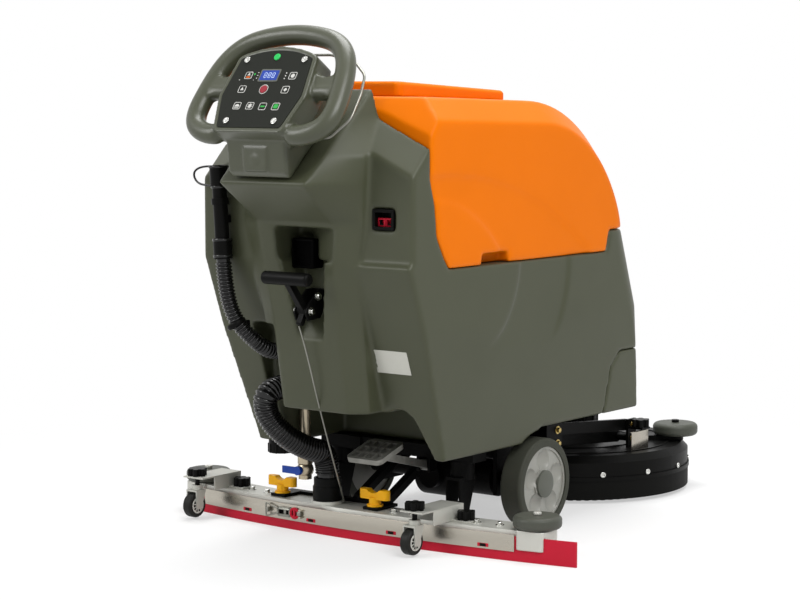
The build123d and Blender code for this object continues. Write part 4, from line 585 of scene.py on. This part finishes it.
# %% Helpers that read a smooth line
def smooth_line(points):
    """The points of a NURBS curve that follows these corner points, in metres."""
    drawn = bpy.data.curves.new("route", "CURVE")
    drawn.dimensions = "3D"
    drawn.resolution_u = 24
    spline = drawn.splines.new("NURBS")
    spline.points.add(len(points) - 1)
    for point, place in zip(spline.points, points):
        point.co = (*place, 1)
    spline.order_u = 3
    spline.use_endpoint_u = True
    route = bpy.data.objects.new("route", drawn)
    bpy.context.scene.collection.objects.link(route)
    bpy.context.view_layer.update()
    flat = bpy.data.meshes.new_from_object(route)
    line = [v.co.copy() for v in flat.vertices]
    bpy.data.objects.remove(route)
    bpy.data.meshes.remove(flat)
    return line


def line_length(line):
    """The length of a line of points."""
    return sum((b - a).length for a, b in zip(line, line[1:]))


def along(line, distance):
    """Place and direction at a distance along a line of points."""
    for a, b in zip(line, line[1:]):
        step = (b - a).length
        if distance <= step or b is line[-1]:
            return a.lerp(b, min(1.0, distance / step)), (b - a).normalized()
        distance -= step


# %% Helpers that lay a tube along a line
def tube(line, profile, sides=28):
    """A closed tube through (distance, radius) stations, each ring turned as little as possible."""
    vertices, faces, across = [], [], None
    for distance, radius in profile:
        centre, forward = along(line, distance)
        across = forward.orthogonal() if across is None else across - forward * across.dot(forward)
        across.normalize()
        up = forward.cross(across)
        for k in range(sides):
            angle = 2 * math.pi * k / sides
            vertices.append(centre + (across * math.cos(angle) + up * math.sin(angle)) * radius)
    for ring in range(len(profile) - 1):
        for k in range(sides):
            a, b = ring * sides + k, ring * sides + (k + 1) % sides
            faces.append((a, b, b + sides, a + sides))
    faces.append(tuple(reversed(range(sides))))
    faces.append(tuple(range(len(vertices) - sides, len(vertices))))
    mesh = bpy.data.meshes.new("tube")
    mesh.from_pydata(vertices, [], faces)
    made = bpy.data.objects.new("tube", mesh)
    bpy.context.scene.collection.objects.link(made)
    return made


def plain_profile(line, radius, steps=60):
    """Stations of a smooth tube."""
    length = line_length(line)
    return [(length * k / steps, radius) for k in range(steps + 1)]


def ribbed_profile(length, crest, depth, pitch):
    """Stations of a ribbed tube: each rib rises, runs flat on its crest and falls again."""
    rib_shape = ((0.0, 1.0), (0.14, 0.35), (0.28, 0.0), (0.5, 0.0), (0.64, 0.35), (0.78, 1.0))
    stations = [(0.0, crest - depth)]
    ribs = int((length - pitch) / pitch)
    first = (length - ribs * pitch) / 2
    for rib in range(ribs):
        for share, drop in rib_shape:
            stations.append((first + rib * pitch + share * pitch, crest - depth * drop))
    return stations + [(length, crest - depth)]


# %% The suction hose
suction_route = [
    (-0.140, -0.4003, 0.292), (-0.140, -0.454, 0.292), (-0.150, -0.446, 0.244),
    (-0.124, -0.422, 0.200), (-0.098, -0.374, 0.168), (-0.090, -0.328, 0.158),
    (-0.090, -0.328, 0.1082),
]
suction_line = smooth_line(suction_route)
suction_length = line_length(suction_line)
suction_hose = tube(suction_line, ribbed_profile(suction_length, crest=0.0238, depth=0.0028, pitch=0.0062))
settle(suction_hose, "suction_hose_ribbed", hose_black, None, angle=55)
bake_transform(suction_hose)
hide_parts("suction_hose")
print("suction hose:", round(suction_length, 3), "m")

# %% The drain hose
drain_route = [
    (-0.181, -0.528, 0.548), (-0.176, -0.528, 0.490), (-0.160, -0.520, 0.430),
    (-0.132, -0.486, 0.384), (-0.126, -0.446, 0.364), (-0.126, -0.4003, 0.364),
]
drain_line = smooth_line(drain_route)
drain_length = line_length(drain_line)
drain_hose = tube(drain_line, ribbed_profile(drain_length, crest=0.0158, depth=0.0026, pitch=0.0068))
settle(drain_hose, "drain_hose_ribbed", hose_black, "chassis", angle=55)
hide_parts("drain_hose")
print("drain hose:", round(drain_length, 3), "m")

# %% [markdown]
# ## Cable and tether
# A thin steel cable runs from the lever to the squeegee and lifts it. A rubber tether keeps the
# drain cap from getting lost. Both cross a moving joint. Soft rings on the spout and a clip hold
# the hose and the tether.

# %% The lift cable
cable_route = [
    (0.0, -0.520, 0.4306), (0.006, -0.510, 0.396), (0.020, -0.481, 0.260), (-0.050, -0.326, 0.065),
]
cable_line = smooth_line(cable_route)
cable = tube(cable_line, plain_profile(cable_line, radius=0.0016), sides=10)
settle(cable, "lift_cable_wire", dull_wire, None)
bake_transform(cable)
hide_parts("lift_cable")
print("lift cable:", round(line_length(cable_line), 3), "m")

# %% The drain cap's tether
spout_y = -0.528
tether_route = [
    (-0.2080, spout_y, 0.724), (-0.2300, spout_y, 0.724), (-0.2530, spout_y, 0.716),
    (-0.2560, spout_y, 0.703), (-0.2440, spout_y, 0.690), (-0.2200, spout_y, 0.687),
    (-0.2040, spout_y, 0.687),
]
tether_line = smooth_line(tether_route)
tether = tube(tether_line, plain_profile(tether_line, radius=0.0021), sides=12)
settle(tether, "cap_tether", hose_black, None)
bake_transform(tether)
print("tether:", round(line_length(tether_line), 3), "m")


# %% Rings of the spout and the hose clip
def collar(place, facing, radius, thick, tall):
    """A soft ring, stretched or flattened along its axis."""
    begin()
    bpy.ops.mesh.primitive_torus_add(major_radius=radius, minor_radius=thick, major_segments=36,
                                     minor_segments=10)
    ring = bpy.context.object
    edit_all(ring)
    bpy.ops.transform.resize(value=(1, 1, tall))
    edit_done()
    made = copy_to(ring, place, facing)
    discard(ring)
    return made


spout_axis = (-0.064, 0, 1)
cap_collar = collar((-0.1923, spout_y, 0.724), spout_axis, radius=0.0172, thick=0.0016, tall=1.6)
settle(cap_collar, "cap_collar", hose_black, "cap")
spout_rings = [
    collar((-0.1899, spout_y, 0.686), spout_axis, radius=0.0146, thick=0.0018, tall=1.8),
    collar((-0.1835, spout_y, 0.585), spout_axis, radius=0.0180, thick=0.0012, tall=2.2),
    collar((-0.1815, spout_y, 0.554), spout_axis, radius=0.0180, thick=0.0012, tall=2.0),
]
settle(joined(spout_rings), "spout_rings", hose_black, "chassis")
hose_clip = joined([
    collar((-0.1590, -0.5165, 0.424), (0.45, 0.25, -0.86), radius=0.0172, thick=0.0026, tall=2.0),
    rounded_block((-0.1480, -0.5060, 0.424), (0.012, 0.022, 0.014), 0.002),
])
settle(hose_clip, "drain_hose_clip", black_moulding, "chassis")

# %% [markdown]
# ## Screws and bolts
# Small fasteners tell the eye how big a thing is. We model one screw and one bolt, upright at the
# origin, and copy them to where each belongs. Each copy is turned a little further than the last,
# because nobody lines up sockets and hexagons.

# %% Two models of fasteners
def round_screw(radius, height):
    """A pan head with a sunk socket. Weld merges the points where two bevels meet."""
    begin()
    bpy.ops.mesh.primitive_cylinder_add(vertices=20, radius=radius, depth=height,
                                        location=(0, 0, height / 2))
    screw = bpy.context.object
    bpy.ops.object.transform_apply()
    sunk(screw, (0, 0, 1), rim=radius * 0.52, push=(0, 0, -height * 0.45))
    bevelled(screw, radius * 0.2)
    apply_modifier(screw, "WELD", merge_threshold=1e-6)
    return screw


def hex_bolt(radius, height):
    """A hexagon head on a washer."""
    begin()
    bpy.ops.mesh.primitive_cylinder_add(vertices=24, radius=radius * 1.45, depth=height * 0.25,
                                        location=(0, 0, height * 0.125))
    washer = bevelled(bpy.context.object, height * 0.06, 2)
    begin()
    bpy.ops.mesh.primitive_cylinder_add(vertices=6, radius=radius, depth=height,
                                        location=(0, 0, height * 0.65))
    hexagon = bpy.context.object
    bpy.ops.object.transform_apply()
    edit_faces(hexagon, (0, 0, 1))
    bpy.ops.mesh.inset(thickness=radius * 0.25)
    bpy.ops.transform.translate(value=(0, 0, height * 0.12))
    edit_done()
    made = joined([bevelled(hexagon, radius * 0.08, 2), washer])
    bpy.ops.object.transform_apply()
    return made


def fasten(model, name, body, spots, finish=bright_wire, turn_step=0.7):
    """Copy a fastener to spots of (place, facing) and let the copies ride together."""
    copies = [copy_to(model, place, facing, spin=turn_step * k)
              for k, (place, facing) in enumerate(spots)]
    settle(joined(copies), name, finish, body)


# %% [markdown]
# ## The control panel
# The dark membrane carries a small blue screen and rows of outlined keys with plain pictures. All
# is drawn flat around the origin, in the panel's own plane, and then tilted into the head at once.

# %% Helpers for drawings on the panel
relief = 0.0004


def tilt_into_head(piece, name, finish):
    """Turn a finished drawing into the panel's plane."""
    piece.rotation_euler = (head_tilt, 0, 0)
    piece.location = head_place
    settle(piece, name, finish, "chassis")


def raise_up(piece, height):
    """Extrude a flat drawing into a thin relief with its back closed."""
    only(piece)
    bpy.ops.object.transform_apply()
    edit_all(piece)
    bpy.ops.mesh.extrude_region_move(TRANSFORM_OT_translate={"value": (0, 0, height)})
    bpy.ops.mesh.select_all(action="SELECT")
    bpy.ops.mesh.normals_make_consistent(inside=False)
    edit_done()
    return piece


# %% Flat drawings
def flat_tile(across, up, width, height, corner, line=None, raised=relief):
    """A tile with round corners, or only its outline where a line width is given."""
    begin()
    bpy.ops.mesh.primitive_plane_add(size=1)
    tile = bpy.context.object
    tile.scale = (width, height, 1)
    bpy.ops.object.transform_apply(location=False, rotation=False, scale=True)
    edit_all(tile)
    bpy.ops.mesh.bevel(offset=corner, segments=4, affect="VERTICES")
    if line:
        bpy.ops.mesh.select_all(action="SELECT")
        bpy.ops.mesh.inset(thickness=line)
        bpy.ops.mesh.delete(type="FACE")
    edit_done()
    tile.location = (across, up, 0)
    return raise_up(tile, raised)


def flat_shape(across, up, corners, radius, pinch=None, flatten=None):
    """A regular shape. Pinch draws every second corner in, flatten cuts the lower part away."""
    begin()
    bpy.ops.mesh.primitive_circle_add(vertices=corners, radius=radius, fill_type="NGON")
    shape = bpy.context.object
    if pinch:
        bpy.ops.object.mode_set(mode="EDIT")
        bpy.ops.mesh.select_mode(type="VERT")
        bpy.ops.mesh.select_all(action="DESELECT")
        bpy.ops.object.mode_set(mode="OBJECT")
        for k, corner in enumerate(shape.data.vertices):
            corner.select = k % 2 == 1
        bpy.ops.object.mode_set(mode="EDIT")
        bpy.ops.transform.resize(value=(pinch, pinch, 1))
        edit_done()
    if flatten is not None:
        edit_all(shape)
        bpy.ops.mesh.bisect(plane_co=(0, flatten, 0), plane_no=(0, 1, 0), clear_inner=True)
        edit_done()
    shape.location = (across, up, 0)
    return raise_up(shape, relief)


# %% White keys and pictures
key_spots = [(-0.050, 0.030), (0.056, 0.029), (-0.052, 0.000), (0.052, -0.001),
             (-0.047, -0.036), (-0.016, -0.036), (0.015, -0.037), (0.046, -0.037)]
key_width, key_height, key_corner, dot_pitch = 0.017, 0.0155, 0.003, 0.006
white_print = [flat_tile(x, y, key_width, key_height, key_corner, line=0.0011) for x, y in key_spots]
white_print += [
    flat_shape(-0.050, 0.032, 3, 0.0042),
    flat_shape(-0.052, 0.000, 3, 0.0046),
    flat_shape(0.052, -0.001, 4, 0.0042),
    flat_shape(0.056, 0.029, 18, 0.0044),
    flat_shape(-0.047, -0.038, 20, 0.0056, flatten=0.0),
    flat_tile(-0.047, -0.0405, 0.011, 0.0014, 0.0005),
    flat_shape(-0.016, -0.036, 14, 0.0062, pinch=0.5),
]
white_print += [flat_tile(x, 0.020, 0.0016, 0.0016, 0.0005) for x in (-0.068, -0.034)]
white_print += [flat_tile(0.0385, 0.023 + dot_pitch * k, 0.0028, 0.0024, 0.0008) for k in range(3)]
white_print += [flat_tile(-0.0285, 0.024 + dot_pitch * k, 0.0026, 0.0016, 0.0006) for k in range(3)]
tilt_into_head(joined(white_print), "panel_keys_white", print_white)
print("panel keys:", len(key_spots))

# %% Coloured pictures
green_print = [
    flat_tile(0.015, -0.037, 0.010, 0.0032, 0.001),
    flat_tile(0.046, -0.0365, 0.0105, 0.009, 0.002),
    flat_shape(-0.0365, 0.0325, 14, 0.0022),
]
tilt_into_head(joined(green_print), "panel_keys_green", print_green)
tilt_into_head(flat_tile(-0.050, 0.0263, 0.009, 0.0034, 0.001), "panel_key_orange", print_orange)

# %% Screen with three digits
screen_up, digit_pitch, bar_pitch = 0.030, 0.0095, 0.0052
glass_top, stroke_top = 0.0006, 0.0009
tilt_into_head(flat_tile(0, screen_up, 0.047, 0.027, 0.0025), "screen_frame", cap_grey)
glass = flat_tile(0, screen_up, 0.041, 0.021, 0.001, raised=glass_top)
tilt_into_head(glass, "screen_glass", screen_blue)


def stroke(across, up, width, height):
    """A bar of a digit, which stands proud of the glass."""
    return flat_tile(across, screen_up + up, width, height, 0.0004, raised=stroke_top)


strokes = []
for digit in range(3):
    x = -0.009 + digit_pitch * digit
    strokes += [stroke(x, bar_pitch * k, 0.0048, 0.0012) for k in (-1, 0, 1)]
    strokes += [stroke(x + side * 0.0027, bar_pitch / 2 * k, 0.0012, 0.0042)
                for side in (-1, 1) for k in (-1, 1)]
tilt_into_head(joined(strokes), "screen_digits", screen_light)

# %% Key rim and panel screws
rim = collar((0, 0, 0.0002), (0, 0, 1), radius=0.0094, thick=0.0007, tall=0.6)
tilt_into_head(rim, "stop_key_rim", print_white)
pan_head = round_screw(0.0064, 0.0028)
panel_corners = ((-0.0685, 0.0635), (0.0685, 0.0635), (-0.057, -0.0685), (0.057, -0.0685))
fasten(pan_head, "panel_screws", "chassis", [(on_panel(x, y, -0.0002), head_out) for x, y in panel_corners])

# %% [markdown]
# ## Socket, blank plate and window
# The charger plugs into a red two-pole connector in the right wing. Below it sits a thin plate with
# a raised border, left bare. Behind the lever the shell has an opening, and a near-black block in it
# is painted shade. All three are rounded blocks with a face pushed in, which gives a real rim that
# catches the light.

# %% Charge connector
def connector_pole(x):
    """A shroud, open to the rear, for one contact."""
    pole = rounded_block((x, -0.4835, 0.6295), (0.0178, 0.0142, 0.0168), 0.0012)
    return sunk(pole, (0, -1, 0), rim=0.0028, push=(0, 0.008, 0))


connector = joined([connector_pole(0.1729), connector_pole(0.1911)])
settle(connector, "charge_connector", blade_red, "chassis")

# %% Blank plate on the wing
plate = rounded_block((0, 0, 0), (0.080, 0.047, 0.0016), 0.0006, 2)
sunk(plate, (0, 0, 1), rim=0.0022, push=(0, 0, -0.0004))
plate.rotation_euler = (math.radians(110), 0, 0)
plate.location = (0.1585, -0.4416, 0.3665)
settle(plate, "blank_plate", blank_label, "chassis")

# %% Window behind the lever, with painted shade
# Its near-black finish is painted shade for the dark inside of the opening.
window = rounded_block((-0.017, -0.474, 0.564), (0.054, 0.030, 0.056), 0.003)
sunk(window, (0, -1, 0), rim=0.003, push=(0, 0.012, 0))
settle(window, "recess_window_shade", painted_hollow_shade, "chassis")

# %% [markdown]
# ## Wheels
# The drive hubs carry a dark domed cap, raised from a disc by a few insets. The squeegee's little
# casters have thin spokes, so one spoke is modelled and copied round.

# %% Hub caps
hub_x, hub_y, hub_z = 0.2405, -0.052, 0.091
for side, body in ((-1, "left_wheel"), (1, "right_wheel")):
    begin()
    bpy.ops.mesh.primitive_cylinder_add(vertices=40, radius=0.0272, depth=0.006)
    cap = bpy.context.object
    edit_faces(cap, (0, 0, 1))
    for step, lift in ((0.004, 0.0014), (0.007, 0.0011), (0.007, 0.0005)):
        bpy.ops.mesh.inset(thickness=step)
        bpy.ops.transform.translate(value=(0, 0, lift))
    edit_done()
    cap.rotation_euler = (0, side * math.pi / 2, 0)
    cap.location = (side * hub_x, hub_y, hub_z)
    settle(cap, body + "_hub_cap", cap_grey, body, angle=40)

# %% Spoked faces of the squeegee casters
caster_spokes, caster_height = 10, 0.028
spoke = rounded_block((0, 0, 0.0085), (0.0016, 0.0022, 0.0115), 0.0005, 2)
bpy.ops.object.transform_apply()
for body, x, y in (("left_squeegee_caster", -0.385, -0.396), ("right_squeegee_caster", 0.185, -0.416)):
    face = [collar((x + side * 0.0103, y, caster_height), (1, 0, 0), radius=0.0148, thick=0.0017, tall=0.7)
            for side in (-1, 1)]
    for k in range(caster_spokes):
        arm = copy_of(spoke)
        arm.rotation_euler = (2 * math.pi * k / caster_spokes, 0, 0)
        arm.location = (x + 0.0105, y, caster_height)
        face.append(arm)
    settle(joined(face), body + "_face", cast_alloy, body)
discard(spoke)

# %% [markdown]
# ## The brush
# Nylon tufts stand in rings round a plastic block. One tuft is a narrow bundle that spreads towards
# the floor. It is copied round the block and leans a little, so that its tips point outwards.

# %% Brush block
block_foot = 0.0505
brush_block = merged_copy("scrub_brush")
edit_all(brush_block)
bpy.ops.mesh.bisect(plane_co=(0, 0, block_foot), plane_no=(0, 0, 1), use_fill=True, clear_inner=True)
edit_done()
settle(brush_block, "brush_block", black_moulding, "brush")
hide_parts("scrub_brush")

# %% One tuft
begin()
bpy.ops.mesh.primitive_cone_add(vertices=7, radius1=0.0066, radius2=0.0034, depth=0.049,
                                location=(0, 0, 0.0262))
tuft = bpy.context.object
bpy.ops.object.transform_apply()
edit_faces(tuft, (0, 0, -1))
bpy.ops.mesh.inset(thickness=0.0016)
bpy.ops.mesh.poke()
edit_done()
print("faces of a tuft:", len(tuft.data.polygons))

# %% Rings of tufts
brush_foot = Vector((0, 0.414, 0.0012))
inner_ring, ring_pitch, tuft_pitch, lean = 0.122, 0.0155, 0.017, 0.05
tufts = []
for ring in range(8):
    radius = inner_ring + ring_pitch * ring
    count = int(2 * math.pi * radius / tuft_pitch)
    for k in range(count):
        angle = 2 * math.pi * (k + 0.5 * (ring % 2)) / count
        outward = Vector((math.cos(angle), math.sin(angle), 0))
        upright = Vector((-outward.x * lean, -outward.y * lean, 1))
        planted = copy_of(tuft)
        planted.rotation_euler = upright.to_track_quat("Z", "Y").to_euler()
        planted.location = outward * radius + brush_foot
        tufts.append(planted)
print("tufts:", len(tufts))
settle(joined(tufts), "brush_tufts", bristle_nylon, "brush", angle=50)
discard(tuft)

# %% [markdown]
# ## Deck and squeegee fittings
# Button heads hold the rubber skirt to the deck, and a bright angle plate carries the knob. The
# steel strap of the squeegee follows one wide arc, so it is spun from its cross-section. It has
# slots through which the red rubber shows, and upright sheets carry the caster brackets.

# %% Deck bolts and angle plate
button_head = round_screw(0.006, 0.0032)
rim_middle, rim_radius = Vector((0, 0.414, 0.0615)), 0.2556
rim_bolts, first_bolt = 15, 6.1
rim_spots = []
for k in range(rim_bolts):
    angle = math.radians(first_bolt + 360 / rim_bolts * k)
    outward = Vector((math.cos(angle), math.sin(angle), 0))
    rim_spots.append((outward * rim_radius + rim_middle, outward))
fasten(button_head, "deck_rim_bolts", "deck", rim_spots)
angle_plate = rounded_block((0.2015, 0.372, 0.1195), (0.0022, 0.068, 0.040), 0.0008, 2)
edit_faces(angle_plate, (0, 0, 1))
bpy.ops.mesh.extrude_region_move(TRANSFORM_OT_translate={"value": (-0.004, 0, 0.0004)})
edit_done()
settle(angle_plate, "deck_angle_plate", brushed_steel, "deck")

# %% The squeegee's arc
arc_radius, arc_x, arc_rear = 2.5, -0.025, -0.359
arc_y = arc_rear + arc_radius
strap_inside, strap_outside = 0.0054, 0.0064


def squeegee_arc(x, behind):
    """The place in Y of the squeegee's arc at a given X, a distance behind its rear face."""
    return arc_y - math.sqrt((arc_radius + behind) ** 2 - (x - arc_x) ** 2)


print("arc at its middle:", round(squeegee_arc(arc_x, 0), 3))

# %% The steel strap
strap_left, strap_height = -0.412, 0.034
strap_half_angle = math.asin((arc_x - strap_left) / (arc_radius + strap_inside))
begin()
bpy.ops.mesh.primitive_plane_add(size=1)
strap = bpy.context.object
strap.scale = (0.002, 0.032, 1)
strap.rotation_euler = (math.pi / 2, 0, math.pi / 2 - strap_half_angle)
strap.location = (strap_left, squeegee_arc(strap_left, strap_inside), strap_height)
bpy.ops.object.transform_apply(location=True, rotation=True, scale=True)
edit_all(strap)
bpy.ops.mesh.spin(steps=72, angle=-2 * strap_half_angle, center=(arc_x, arc_y, 0), axis=(0, 0, 1))
bpy.ops.mesh.select_all(action="SELECT")
bpy.ops.mesh.normals_make_consistent(inside=False)
edit_done()
bevelled(strap, 0.0005, 2)
lug_x = -0.128
lug_y = squeegee_arc(lug_x, strap_outside) - 0.003
lugs = [rounded_block((lug_x, lug_y, z), (0.006, 0.008, 0.004), 0.0006, 2) for z in (0.028, 0.042)]
strap = joined([strap] + lugs)
settle(strap, "squeegee_strap_band", brushed_steel, "squeegee")
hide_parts("squeegee_strap")

# %% Slots of the strap
slot_height, slot_places = 0.025, (-0.279, -0.103, 0.095, 0.298)


def slot_pieces(width, height, proud):
    """A thin block in each slot, along the arc, standing a little proud of the strap."""
    made = []
    for x in slot_places:
        block = rounded_block((0, 0, 0), (width, 0.0012, height), 0.0004, 2)
        block.rotation_euler = (0, 0, math.asin((x - arc_x) / arc_radius))
        block.location = (x, squeegee_arc(x, strap_outside) - proud, slot_height)
        made.append(block)
    return joined(made)


red_edges = slot_pieces(0.023, 0.0066, proud=0.0001)
settle(red_edges, "strap_slot_rubber", blade_red, "squeegee")
dark_slots = slot_pieces(0.013, 0.0058, proud=0.0005)
settle(dark_slots, "strap_slot_shadow", black_moulding, "squeegee")

# %% Cheeks of the caster brackets
def bracket_cheek(x, rear, front):
    """An upright sheet under a bracket's top plate."""
    return rounded_block((x, (rear + front) / 2, 0.0720), (0.0026, front - rear, 0.0285), 0.0009, 2)


cheeks = joined([bracket_cheek(-0.3535, -0.370, -0.294), bracket_cheek(0.2165, -0.390, -0.299)])
settle(cheeks, "bracket_cheeks", zinc_sheet, "squeegee")

# %% [markdown]
# ## The strap latch
# A toggle pulls the strap tight: a wire loop hooks over a stud, a pressed frame carries the loop, and
# a red ring is the grip. The frame's two windows are inset and pushed in, each on its own, and
# near-black tiles in them are painted shade.

# %% Loop and frame of the latch
latch_x, latch_z, latch_middle, latch_depth = -0.1700, 0.0345, -0.18, 0.0042
latch_y = squeegee_arc(latch_middle, strap_outside) - latch_depth
loop_line = smooth_line([(x, latch_y, z) for x, z in (
    (-0.184, 0.0375), (-0.212, 0.0462), (-0.219, 0.0480), (-0.219, 0.0420),
    (-0.219, 0.0270), (-0.219, 0.0210), (-0.212, 0.0228), (-0.184, 0.0315),
)])
loop = tube(loop_line, plain_profile(loop_line, radius=0.0016, steps=90), sides=10)
latch_frame = rounded_block((latch_x, latch_y - 0.0006, latch_z), (0.034, 0.0052, 0.0170), 0.0012)
edit_all(latch_frame)
bpy.ops.mesh.bisect(plane_co=(0, 0, 0), plane_no=(1, 0, 0))
edit_done()
sunk(latch_frame, (0, -1, 0), rim=0.0028, push=(0, 0.0036, 0), each=True)
knuckle = rounded_block((-0.1305, lug_y - 0.0006, 0.035), (0.0090, 0.0060, 0.0088), 0.0014)
latch_metal = settle(joined([latch_frame, loop, knuckle]), "latch_frame", dull_wire, "latch")
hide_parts("strap_latch")

# %% Grip, painted shade in the windows, and stud of the latch
grip_place = (-0.1437, latch_y - 0.0012, latch_z)
grip_ring = collar(grip_place, (0, 1, 0), radius=0.0094, thick=0.0027, tall=1.0)
grip_bar = rounded_block(grip_place, (0.005, 0.004, 0.0185), 0.0012)
settle(joined([grip_ring, grip_bar]), "latch_red_grip", blade_red, "latch")
# Near-black tiles in the frame's windows: painted shade.
window_shade_tiles = [
    rounded_block((latch_x + side * 0.0082, latch_y + 0.0002, latch_z), (0.0098, 0.0008, 0.0104), 0.0003, 2)
    for side in (-1, 1)
]
settle(joined(window_shade_tiles), "latch_window_shade", painted_hollow_shade, "latch")
stud = rounded_block((-0.2145, latch_y + 0.0012, latch_z), (0.0050, 0.0080, 0.0100), 0.0014)
settle(stud, "latch_stud", dull_wire, "squeegee")

# %% [markdown]
# ## The last bolts
# Hexagon bolts hold the squeegee's top, the lever's bracket and both ends of the deck's arms. They
# are copies of one bolt again, in brass on the arms and in bright steel elsewhere.

# %% Bolts of the squeegee, the lever and the deck's arms
hexagon = hex_bolt(0.0058, 0.0056)
top_spots = [((x, squeegee_arc(x, -0.03), 0.057), (0, 0, 1))
             for x in (-0.300, -0.255, 0.075, 0.120, 0.262, 0.310)]
fasten(hexagon, "squeegee_bolts", "squeegee", top_spots)
lever_spots = [((0.0160, -0.504, 0.458), (1, 0, 0)), ((0.0160, -0.484, 0.484), (1, 0, 0)),
               ((-0.0160, -0.504, 0.458), (-1, 0, 0))]
fasten(hexagon, "lever_bolts", "chassis", lever_spots)
arm_x = 0.166
arm_spots = [((side * arm_x, 0.399, z), (side, 0, 0)) for side in (-1, 1) for z in (0.146, 0.118)]
fasten(hexagon, "deck_arm_bolts", "deck", arm_spots, bolt_brass)
root_spots = [((side * arm_x, 0.106, z), (side, 0, 0)) for side in (-1, 1) for z in (0.172, 0.144)]
fasten(hexagon, "frame_arm_bolts", "chassis", root_spots, bolt_brass)
discard(pan_head, button_head, hexagon)
